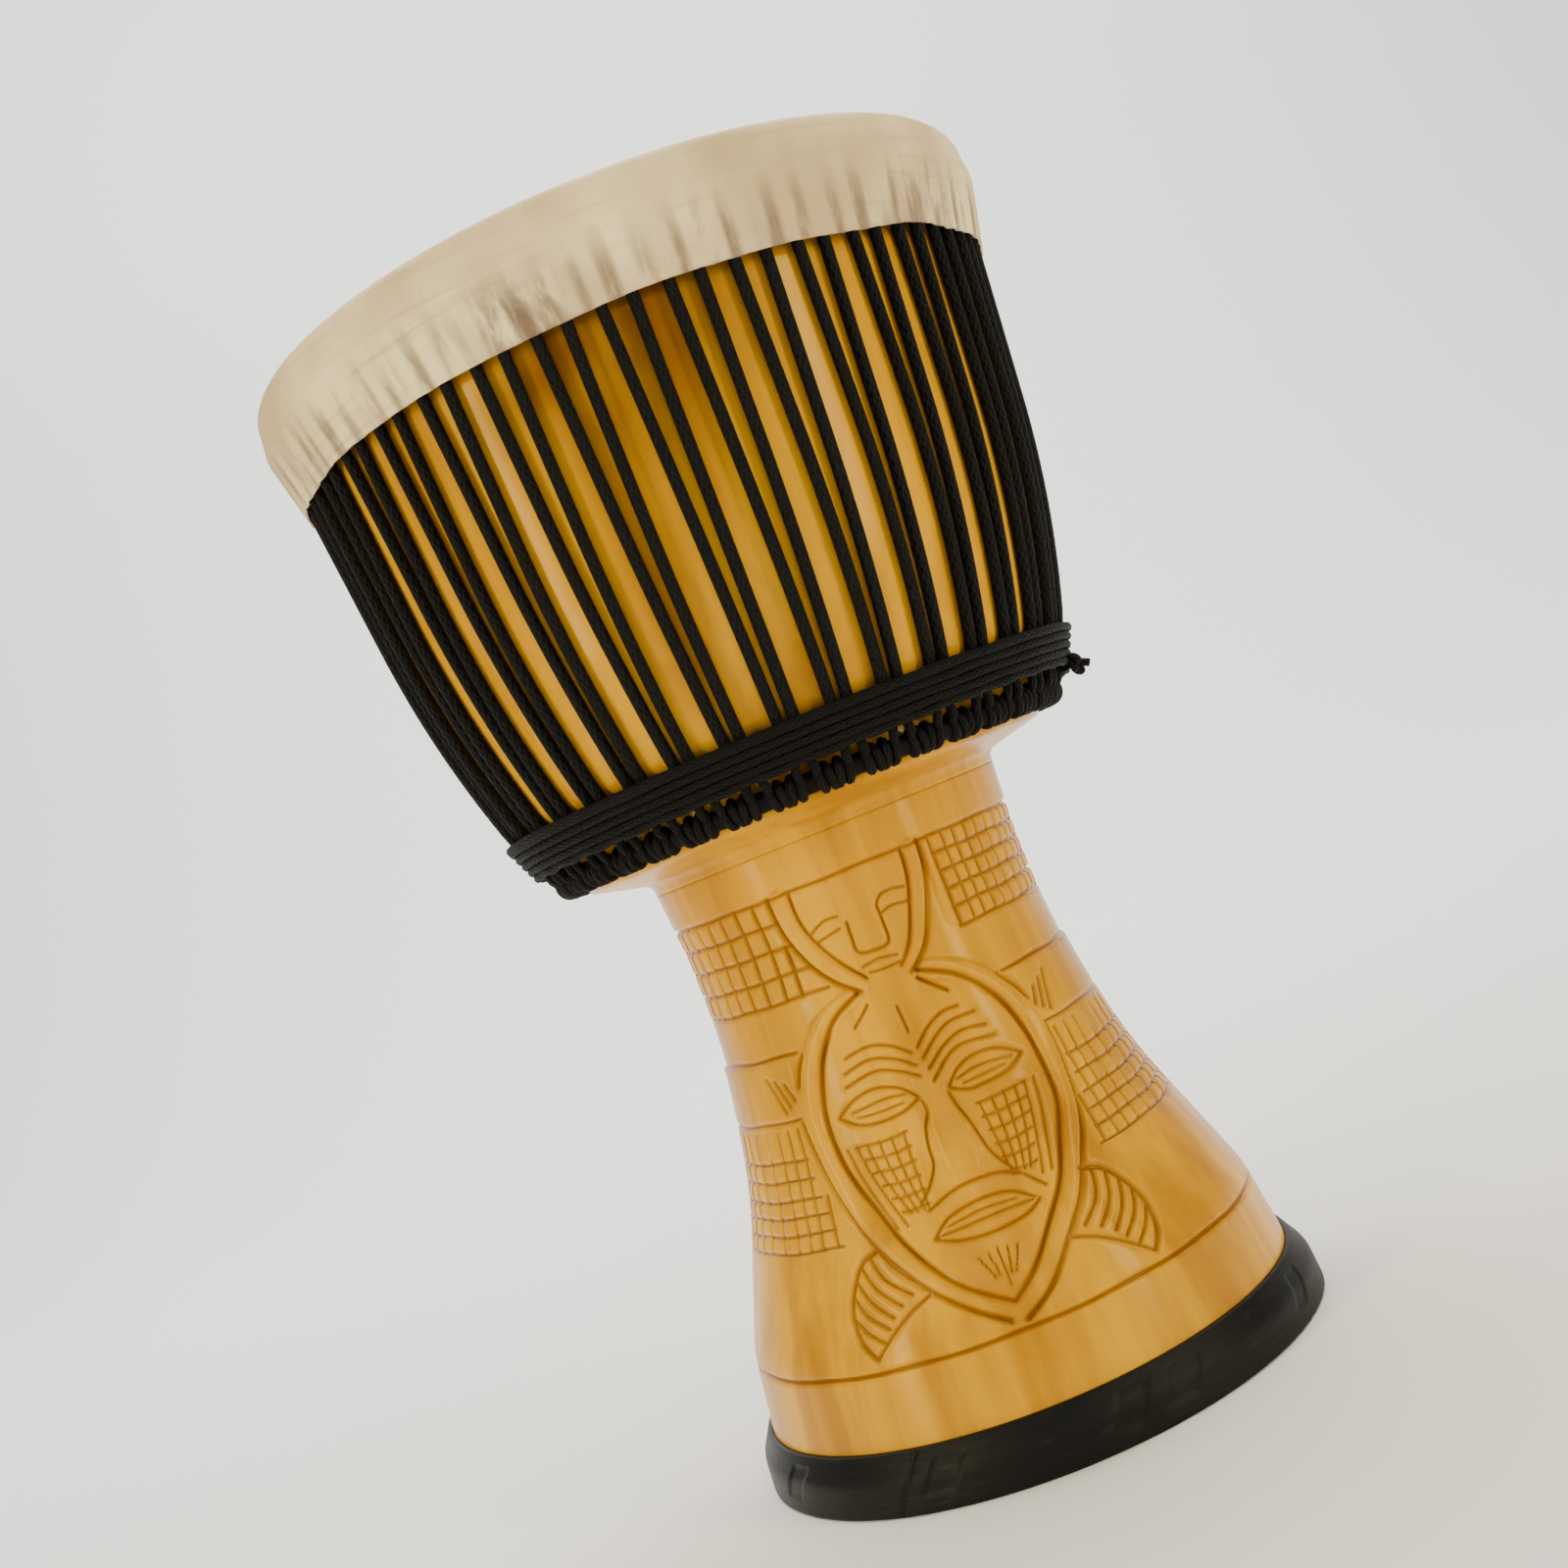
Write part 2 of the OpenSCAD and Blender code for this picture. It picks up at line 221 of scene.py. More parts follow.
def swept(whole: bmesh.types.BMesh, path: list[Vector], radius: float, sides: int) -> None:
    """Extrudes a ring along a path into a capped tube with a lengthwise UV map.

    Args:
        whole: The mesh that takes the tube.
        path: Middle line, in millimetres.
        radius: The tube's radius.
        sides: Number of sides.
    """
    bm = bmesh.new()
    uv = bm.loops.layers.uv.verify()
    tangents = [(path[min(i + 1, len(path) - 1)] - path[max(i - 1, 0)]).normalized()
                for i in range(len(path))]
    up = tangents[0].orthogonal().normalized()
    made = bmesh.ops.create_circle(bm, cap_ends=False, segments=sides, radius=radius)
    ring = list(made["verts"])
    first_edges = list({e for v in ring for e in v.link_edges})
    along = 0.0
    edges = first_edges
    for i, (centre, tangent) in enumerate(zip(path, tangents)):
        up = (up - tangent * up.dot(tangent)).normalized()
        side = tangent.cross(up)
        if i:
            result = bmesh.ops.extrude_edge_only(bm, edges=edges)
            fresh = [g for g in result["geom"] if isinstance(g, bmesh.types.BMVert)]
            faces = [g for g in result["geom"] if isinstance(g, bmesh.types.BMFace)]
            fresh_set = set(fresh)
            edges = [g for g in result["geom"] if isinstance(g, bmesh.types.BMEdge)
                     and g.verts[0] in fresh_set and g.verts[1] in fresh_set]
            order = {v: k for k, v in enumerate(ring)}
            matched: list[bmesh.types.BMVert] = [fresh[0]] * sides
            for v in fresh:
                old = next(e.other_vert(v) for e in v.link_edges if e.other_vert(v) in order)
                matched[order[old]] = v
            step = (centre - path[i - 1]).length
            index = {v: k for k, v in enumerate(matched)}
            for f in faces:
                ks = [order[lp.vert] if lp.vert in order else index[lp.vert] for lp in f.loops]
                wrap = max(ks) - min(ks) > 1
                for lp, k in zip(f.loops, ks):
                    around = (sides if wrap and k == 0 else k) / sides
                    lp[uv].uv = (around, (along + (step if lp.vert in index else 0.0)) * MM)
            along += step
            ring = matched
        for k, v in enumerate(ring):
            a = 2 * math.pi * k / sides
            v.co = centre + radius * (math.cos(a) * up + math.sin(a) * side)
    bmesh.ops.contextual_create(bm, geom=first_edges)
    bmesh.ops.contextual_create(bm, geom=edges)
    add_to(whole, bm)


def add_to(whole: bmesh.types.BMesh, part: bmesh.types.BMesh) -> None:
    """Adds a bmesh to another and frees it, which is quicker than growing a large one.

    Args:
        whole: The mesh that takes the part.
        part: The mesh that is added.
    """
    scratch = bpy.data.meshes.new("scratch")
    part.to_mesh(scratch)
    part.free()
    whole.from_mesh(scratch)
    bpy.data.meshes.remove(scratch)


def finished(bm: bmesh.types.BMesh, name: str, material: bpy.types.Material) -> bpy.types.Object:
    """Turns a bmesh in millimetres into a smooth-shaded object in metres.

    Args:
        bm: The mesh, which is freed.
        name: The object's name.
        material: Its finish.

    Returns:
        The linked object, at the origin.
    """
    bmesh.ops.recalc_face_normals(bm, faces=bm.faces)
    bmesh.ops.scale(bm, vec=(MM, MM, MM), verts=bm.verts)
    mesh = bpy.data.meshes.new(name)
    bm.to_mesh(mesh)
    bm.free()
    mesh.shade_smooth()
    mesh.materials.append(material)
    piece = bpy.data.objects.new(name, mesh)
    bpy.context.scene.collection.objects.link(piece)
    return piece


def settle(piece: bpy.types.Object, node: str) -> None:
    """Puts a finished piece on the drum and hides the CAD node that it stands for.

    Args:
        piece: The finished object.
        node: The CAD node that it replaces.
    """
    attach(piece, BODY)
    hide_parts(node)
    LOG.info("%s: %d faces", piece.name, len(piece.data.polygons))


# ---------------------------------------------------------------- finishes


class Slot(Enum):
    """The record's material slots."""

    WOOD = "lacquered_wood"
    RUBBER = "foot_rubber"
    SKIN = "goatskin"
    WIRE = "ring_wire"
    ROPE = "black_rope"


class Shader:
    """A small builder for one node tree."""

    def __init__(self, tree: bpy.types.NodeTree) -> None:
        """Keeps the tree that the nodes go in."""
        self.tree = tree

    def add(self, kind: str, **inputs: object) -> bpy.types.Node:
        """Adds a node.

        Args:
            kind: The node's type.
            **inputs: Properties to set, or inputs by their names with _ for a space.

        Returns:
            The node.
        """
        node = self.tree.nodes.new(kind)
        for key, value in inputs.items():
            if hasattr(node, key):
                setattr(node, key, value)
            else:
                self.feed(node, key.replace("_", " "), value)
        return node

    def feed(self, node: bpy.types.Node, name: str | int, value: object) -> None:
        """Links a socket to an input, or sets the input's constant.

        Args:
            node: The node that takes the value.
            name: The input's name or number.
            value: A socket, a number or a colour.
        """
        target = node.inputs[name]
        if isinstance(value, bpy.types.NodeSocket):
            self.tree.links.new(value, target)
        else:
            target.default_value = value

    def math(self, operation: str, a: object, b: object = 0.0) -> bpy.types.NodeSocket:
        """Adds a Math node.

        Args:
            operation: What it does.
            a: First socket or number.
            b: Second socket or number.

        Returns:
            Its result.
        """
        node = self.tree.nodes.new("ShaderNodeMath")
        node.operation = operation
        self.feed(node, 0, a)
        self.feed(node, 1, b)
        return node.outputs[0]

    def mix(self, factor: object, a: object, b: object) -> bpy.types.NodeSocket:
        """Mixes two colours.

        Args:
            factor: The share of b, from 0 to 1.
            a: First colour.
            b: Second colour.

        Returns:
            The mixed colour.
        """
        node = self.tree.nodes.new("ShaderNodeMix")
        node.data_type = "RGBA"
        self.feed(node, 0, factor)
        self.feed(node, 6, a)
        self.feed(node, 7, b)
        return node.outputs[2]

    def ramp(self, value: object, low: float, high: float) -> bpy.types.NodeSocket:
        """Maps a value to 0..1 on an S-curve.

        Args:
            value: The socket to map.
            low: The value that gives 0.
            high: The value that gives 1.

        Returns:
            The mapped value.
        """
        node = self.tree.nodes.new("ShaderNodeMapRange")
        node.interpolation_type = "SMOOTHSTEP"
        self.feed(node, 0, value)
        node.inputs[1].default_value = low
        node.inputs[2].default_value = high
        return node.outputs[0]


def new_group(name: str, inputs: dict[str, tuple[str, float]],
              outputs: dict[str, str]) -> bpy.types.NodeTree:
    """Makes a shader node group with named sockets.

    Args:
        name: The group's name.
        inputs: Socket type and default of each input.
        outputs: Socket type of each output.

    Returns:
        The empty group.
    """
    tree = bpy.data.node_groups.new(name, "ShaderNodeTree")
    for label, (kind, default) in inputs.items():
        socket = tree.interface.new_socket(name=label, in_out="INPUT", socket_type=kind)
        if kind == "NodeSocketFloat":
            socket.default_value = default
    for label, kind in outputs.items():
        tree.interface.new_socket(name=label, in_out="OUTPUT", socket_type=kind)
    return tree


def fibre_group() -> bpy.types.NodeTree:
    """Makes the group of streaks that run along Z: wood grain, skin streaks, rubber scuffs.

    Returns:
        The group.
    """
    number = "NodeSocketFloat"
    tree = new_group("lengthwise fibres", {"Vector": ("NodeSocketVector", 0.0), "Across": (number, 90.0),
                                           "Along": (number, 5.0), "Detail": (number, 4.0)},
                     {"Fibres": number, "Clouds": number})
    s = Shader(tree)
    start = s.add("NodeGroupInput")
    parts = s.add("ShaderNodeSeparateXYZ", Vector=start.outputs["Vector"])
    stretched = s.add("ShaderNodeCombineXYZ",
                      X=s.math("MULTIPLY", parts.outputs[0], start.outputs["Across"]),
                      Y=s.math("MULTIPLY", parts.outputs[1], start.outputs["Across"]),
                      Z=s.math("MULTIPLY", parts.outputs[2], start.outputs["Along"]))
    fibres = s.add("ShaderNodeTexNoise", Vector=stretched.outputs[0], Scale=1.0, Roughness=0.6,
                   Distortion=0.3)
    s.feed(fibres, "Detail", start.outputs["Detail"])
    clouds = s.add("ShaderNodeTexNoise", Vector=start.outputs["Vector"], Scale=11.0, Detail=3.0,
                   Roughness=0.55)
    end = s.add("NodeGroupOutput")
    s.feed(end, "Fibres", fibres.outputs["Fac"])
    s.feed(end, "Clouds", clouds.outputs["Fac"])
    return tree


def braid_group() -> bpy.types.NodeTree:
    """Makes the group that draws a braid's crossing strands on a tube's UV map.

    Returns:
        The group.
    """
    number = "NodeSocketFloat"
    tree = new_group("braid", {"UV": ("NodeSocketVector", 0.0), "Strands": (number, 6.0),
                               "Pitch": (number, 110.0)}, {"Height": number, "Strand": number})
    s = Shader(tree)
    start = s.add("NodeGroupInput")
    parts = s.add("ShaderNodeSeparateXYZ", Vector=start.outputs["UV"])
    around = s.math("MULTIPLY", parts.outputs[0], start.outputs["Strands"])
    along = s.math("MULTIPLY", parts.outputs[1], start.outputs["Pitch"])
    waves = []
    for operation in ("ADD", "SUBTRACT"):
        phase = s.math("MULTIPLY", s.math(operation, around, along), math.tau)
        waves.append(s.math("SINE", phase))
    height = s.math("MAXIMUM", waves[0], waves[1])
    end = s.add("NodeGroupOutput")
    s.feed(end, "Height", height)
    s.feed(end, "Strand", s.math("MULTIPLY", waves[0], waves[1]))
    return tree


@dataclass(frozen=True)
class Finish:
    """What every finish shares: a name, two tones and a roughness."""

    name: str
    light: Colour
    dark: Colour
    roughness: float

    def start(self) -> tuple[bpy.types.Material, Shader, bpy.types.Node]:
        """Makes the material.

        Returns:
            The material, its node builder and its Principled shader.
        """
        material = bpy.data.materials.new(self.name)
        material.use_nodes = True
        shader = Shader(material.node_tree)
        return material, shader, material.node_tree.nodes["Principled BSDF"]

    @staticmethod
    def group(s: Shader, tree: bpy.types.NodeTree, **inputs: object) -> bpy.types.Node:
        """Places a node group.

        Args:
            s: The material's node builder.
            tree: The group.
            **inputs: A socket or a number for each of its inputs that is set.

        Returns:
            The node.
        """
        node = s.tree.nodes.new("ShaderNodeGroup")
        node.node_tree = tree
        for name, value in inputs.items():
            s.feed(node, name, value)
        return node


@dataclass(frozen=True)
class LacqueredWood(Finish):
    """Golden stained wood under gloss lacquer; its carved lines are darkened by staining gathered in them
    and by painted shade.
    """

    # Dark brown for the carved grooves: partly staining gathered there, partly painted shade in the
    # recesses.
    pooled_stain_and_shade: Colour = (0.17, 0.045, 0.001, 1.0)
    # Brown of the painted shadow on the bowl's top under the collar.
    shade_and_stain: Colour = (0.20, 0.065, 0.003, 1.0)
    raw: Colour = (0.42, 0.24, 0.10, 1.0)
    sheen: Colour = (1.0, 0.66, 0.10, 1.0)
    coat: float = 0.15
    coat_roughness: float = 0.11
    grain_roughness: float = 0.12
    raw_roughness: float = 0.7

    def make(self, fibres: bpy.types.NodeTree) -> bpy.types.Material:
        """Builds the finish.

        Args:
            fibres: The group of lengthwise streaks.

        Returns:
            The material.
        """
        material, s, principled = self.start()
        place = s.add("ShaderNodeTexCoord").outputs["Object"]
        grain = self.group(s, fibres, Vector=place, Across=130.0, Along=6.0)
        bands = self.group(s, fibres, Vector=place, Across=30.0, Along=2.0)
        tone = s.mix(s.ramp(bands.outputs["Fibres"], 0.36, 0.70), self.light, self.dark)
        lines = s.math("MULTIPLY", s.ramp(grain.outputs["Fibres"], 0.45, 0.8), 0.35)
        tone = s.mix(lines, tone, self.dark)
        # Painted shade: the carve depth darkens the grooves, and also stands for staining gathered in them.
        carve = s.add("ShaderNodeAttribute", attribute_name="carve").outputs["Fac"]
        tone = s.mix(s.math("MULTIPLY", s.ramp(carve, 0.2, 1.0), 0.8), tone, self.pooled_stain_and_shade)
        # Painted shadow: the shade attribute darkens the bowl's top under the collar, broken up into clouds.
        shade = s.add("ShaderNodeAttribute", attribute_name="shade").outputs["Fac"]
        painted_collar_shadow = s.math("MULTIPLY", shade, s.ramp(bands.outputs["Clouds"], 0.32, 0.60))
        tone = s.mix(painted_collar_shadow, tone, self.shade_and_stain)
        inside = s.add("ShaderNodeAttribute", attribute_name="raw").outputs["Fac"]
        tone = s.mix(inside, tone, self.raw)
        s.feed(principled, "Base Color", tone)
        rough = s.math("MULTIPLY_ADD", grain.outputs["Fibres"], self.grain_roughness)
        rough.node.inputs[2].default_value = self.roughness
        dry = s.math("MULTIPLY", inside, self.raw_roughness)
        s.feed(principled, "Roughness", s.math("MAXIMUM", rough, dry))
        principled.inputs["IOR"].default_value = 1.28
        principled.inputs["Specular Tint"].default_value = self.sheen
        s.feed(principled, "Coat Weight", s.math("MULTIPLY", s.math("SUBTRACT", 1.0, inside), self.coat))
        principled.inputs["Coat Roughness"].default_value = self.coat_roughness
        principled.inputs["Coat IOR"].default_value = 1.5
        bump = s.add("ShaderNodeBump", Strength=0.25, Distance=0.0006, Height=grain.outputs["Fibres"])
        s.feed(principled, "Normal", bump.outputs[0])
        return material


@dataclass(frozen=True)
class Goatskin(Finish):
    """Dry shaved goatskin: cream, streaked down the collar, with brown stains and painted shade in the
    pleats' hollows.
    """

    # Brown used for real soil stains and for painted shade in the pleat hollows.
    shade_and_stain: Colour = (0.16, 0.10, 0.06, 1.0)

    def make(self, fibres: bpy.types.NodeTree) -> bpy.types.Material:
        """Builds the finish.

        Args:
            fibres: The group of lengthwise streaks.

        Returns:
            The material.
        """
        material, s, principled = self.start()
        place = s.add("ShaderNodeTexCoord").outputs["Object"]
        streaks = self.group(s, fibres, Vector=place, Across=120.0, Along=14.0)
        hair = self.group(s, fibres, Vector=place, Across=900.0, Along=160.0)
        rings = self.group(s, fibres, Vector=place, Across=16.0, Along=330.0)
        tone = s.mix(s.ramp(streaks.outputs["Clouds"], 0.38, 0.68), self.light, self.dark)
        rubbed = s.math("MULTIPLY", s.ramp(rings.outputs["Fibres"], 0.50, 0.72), 0.55)
        tone = s.mix(rubbed, tone, self.dark)
        # Painted shade: the pleat attribute darkens the hollows of the collar's creases.
        pleat = s.add("ShaderNodeAttribute", attribute_name="pleat").outputs["Fac"]
        pleat_shade = s.math("MULTIPLY", s.ramp(streaks.outputs["Fibres"], 0.34, 0.58), pleat)
        tone = s.mix(s.math("MULTIPLY", pleat_shade, 0.82), tone, self.shade_and_stain)
        soil = s.add("ShaderNodeAttribute", attribute_name="soil").outputs["Fac"]
        grime = s.math("MULTIPLY", soil, s.ramp(streaks.outputs["Fibres"], 0.32, 0.62))
        tone = s.mix(grime, tone, self.shade_and_stain)
        pores = s.math("MULTIPLY", s.ramp(hair.outputs["Fibres"], 0.5, 0.75), 0.25)
        tone = s.mix(pores, tone, self.dark)
        s.feed(principled, "Base Color", tone)
        s.feed(principled, "Roughness", s.math("ADD", s.math("MULTIPLY", streaks.outputs["Clouds"], 0.2),
                                               self.roughness))
        principled.inputs["Subsurface Weight"].default_value = 0.08
        principled.inputs["Subsurface Radius"].default_value = (0.004, 0.002, 0.001)
        grooves = s.math("MULTIPLY", streaks.outputs["Fibres"], 0.6)
        height = s.math("ADD", grooves, hair.outputs["Fibres"])
        bump = s.add("ShaderNodeBump", Strength=0.4, Distance=0.0005, Height=height)
        s.feed(principled, "Normal", bump.outputs[0])
        return material


@dataclass(frozen=True)
class BraidedRope(Finish):
    """Black braided polyester."""

    pitch: float = 190.0

    def make(self, braid: bpy.types.NodeTree, fibres: bpy.types.NodeTree) -> bpy.types.Material:
        """Builds the finish.

        Args:
            braid: The group of crossing strands.
            fibres: The group of streaks, used here as dust.

        Returns:
            The material.
        """
        material, s, principled = self.start()
        weave = self.group(s, braid, Pitch=self.pitch)
        coords = s.add("ShaderNodeTexCoord")
        s.feed(weave, "UV", coords.outputs["UV"])
        dust = self.group(s, fibres, Vector=coords.outputs["Object"], Across=240.0, Along=240.0)
        # Painted shade: the braid's low parts between strands are darker and its raised strands lighter.
        tone = s.mix(s.ramp(weave.outputs["Height"], -0.2, 1.0), self.dark, self.light)
        specks = s.math("MULTIPLY", s.ramp(dust.outputs["Fibres"], 0.5, 0.8), 0.4)
        tone = s.mix(specks, tone, self.light)
        s.feed(principled, "Base Color", tone)
        s.feed(principled, "Roughness", s.math("ADD", s.math("MULTIPLY", dust.outputs["Fibres"], 0.2),
                                               self.roughness))
        principled.inputs["Specular IOR Level"].default_value = 0.16
        bump = s.add("ShaderNodeBump", Strength=0.7, Distance=0.0004, Height=weave.outputs["Height"])
        s.feed(principled, "Normal", bump.outputs[0])
        return material


@dataclass(frozen=True)
class TyreRubber(Finish):
    """Charcoal tyre rubber, scuffed pale where it rubs the floor."""

    def make(self, fibres: bpy.types.NodeTree) -> bpy.types.Material:
        """Builds the finish.

        Args:
            fibres: The group of lengthwise streaks.

        Returns:
            The material.
        """
        material, s, principled = self.start()
        place = s.add("ShaderNodeTexCoord").outputs["Object"]
        scuffs = self.group(s, fibres, Vector=place, Across=60.0, Along=420.0)
        principled.inputs["Specular IOR Level"].default_value = 0.18
        speck = s.add("ShaderNodeTexNoise", Vector=place, Scale=1400.0, Detail=2.0)
        tone = s.mix(s.ramp(scuffs.outputs["Fibres"], 0.55, 0.8), self.dark, self.light)
        worn = s.math("MULTIPLY", s.ramp(scuffs.outputs["Clouds"], 0.5, 0.75), 0.5)
        tone = s.mix(worn, tone, self.light)
        s.feed(principled, "Base Color", tone)
        s.feed(principled, "Roughness", s.math("ADD", s.math("MULTIPLY", scuffs.outputs["Clouds"], 0.35),
                                               self.roughness))
        height = s.math("ADD", speck.outputs["Fac"], s.math("MULTIPLY", scuffs.outputs["Fibres"], 2.0))
        bump = s.add("ShaderNodeBump", Strength=0.35, Distance=0.0005, Height=height)
        s.feed(principled, "Normal", bump.outputs[0])
        return material


@dataclass(frozen=True)
class RingWire(Finish):
    """Plain drawn steel wire with faint rust."""

    def make(self, fibres: bpy.types.NodeTree) -> bpy.types.Material:
        """Builds the finish.

        Args:
            fibres: The group of lengthwise streaks.

        Returns:
            The material.
        """
        material, s, principled = self.start()
        place = s.add("ShaderNodeTexCoord").outputs["Object"]
        rust = self.group(s, fibres, Vector=place, Across=160.0, Along=160.0)
        spots = s.ramp(rust.outputs["Fibres"], 0.58, 0.72)
        s.feed(principled, "Base Color", s.mix(spots, self.light, self.dark))
        s.feed(principled, "Metallic", s.math("SUBTRACT", 1.0, spots))
        s.feed(principled, "Roughness", s.math("ADD", s.math("MULTIPLY", spots, 0.4), self.roughness))
        return material


@dataclass
class FinishSet:
    """Every material of the drum, made once."""

    wood: bpy.types.Material = field(init=False)
    skin: bpy.types.Material = field(init=False)
    rope: bpy.types.Material = field(init=False)
    rubber: bpy.types.Material = field(init=False)
    wire: bpy.types.Material = field(init=False)

    def __post_init__(self) -> None:
        """Makes the shared groups and the materials."""
        fibres = fibre_group()
        braid = braid_group()
        self.wood = LacqueredWood("lacquered wood", light=(0.70, 0.345, 0.0001, 1),
                                  dark=(0.43, 0.180, 0.0001, 1), roughness=0.28).make(fibres)
        self.skin = Goatskin("goatskin", light=(0.90, 0.735, 0.43, 1),
                             dark=(0.54, 0.385, 0.20, 1), roughness=0.55).make(fibres)
        self.rope = BraidedRope("black rope", light=(0.0045, 0.004, 0.004, 1),
                                dark=(0.001, 0.001, 0.001, 1), roughness=0.65).make(braid, fibres)
        self.rubber = TyreRubber("tyre rubber", light=(0.012, 0.013, 0.013, 1),
                                 dark=(0.002, 0.002, 0.002, 1), roughness=0.30).make(fibres)
        self.wire = RingWire("ring wire", light=(0.55, 0.55, 0.56, 1),
                             dark=(0.22, 0.10, 0.05, 1), roughness=0.28).make(fibres)


# ---------------------------------------------------------------- carving


@dataclass(frozen=True)
class Stroke:
    """One pass of the carver's gouge, or a rounded band that it leaves proud.

    Points are an angle around the stem in degrees and a height in the units of
    StemCarving. Widths and depths are in millimetres.
    """

    points: tuple[Point, ...]
    width: float = 2.6
    depth: float = 1.3
    smooth: bool = True
    proud: bool = False


def cut(*points: Point, width: float = 2.6, depth: float = 1.3, smooth: bool = True) -> Stroke:
    """Returns a gouged line through the points."""
    return Stroke(points, width, depth, smooth)


def band(*points: Point, width: float = 8.0, height: float = 1.2) -> Stroke:
    """Returns a rounded band that stands proud along the points."""
    return Stroke(points, width, height, True, True)


def mirrored(strokes: list[Stroke]) -> list[Stroke]:
    """Returns the strokes with their mirror images across the drum's front."""
    other = [Stroke(tuple((-a, z) for a, z in s.points), s.width, s.depth, s.smooth, s.proud)
             for s in strokes]
    return strokes + other


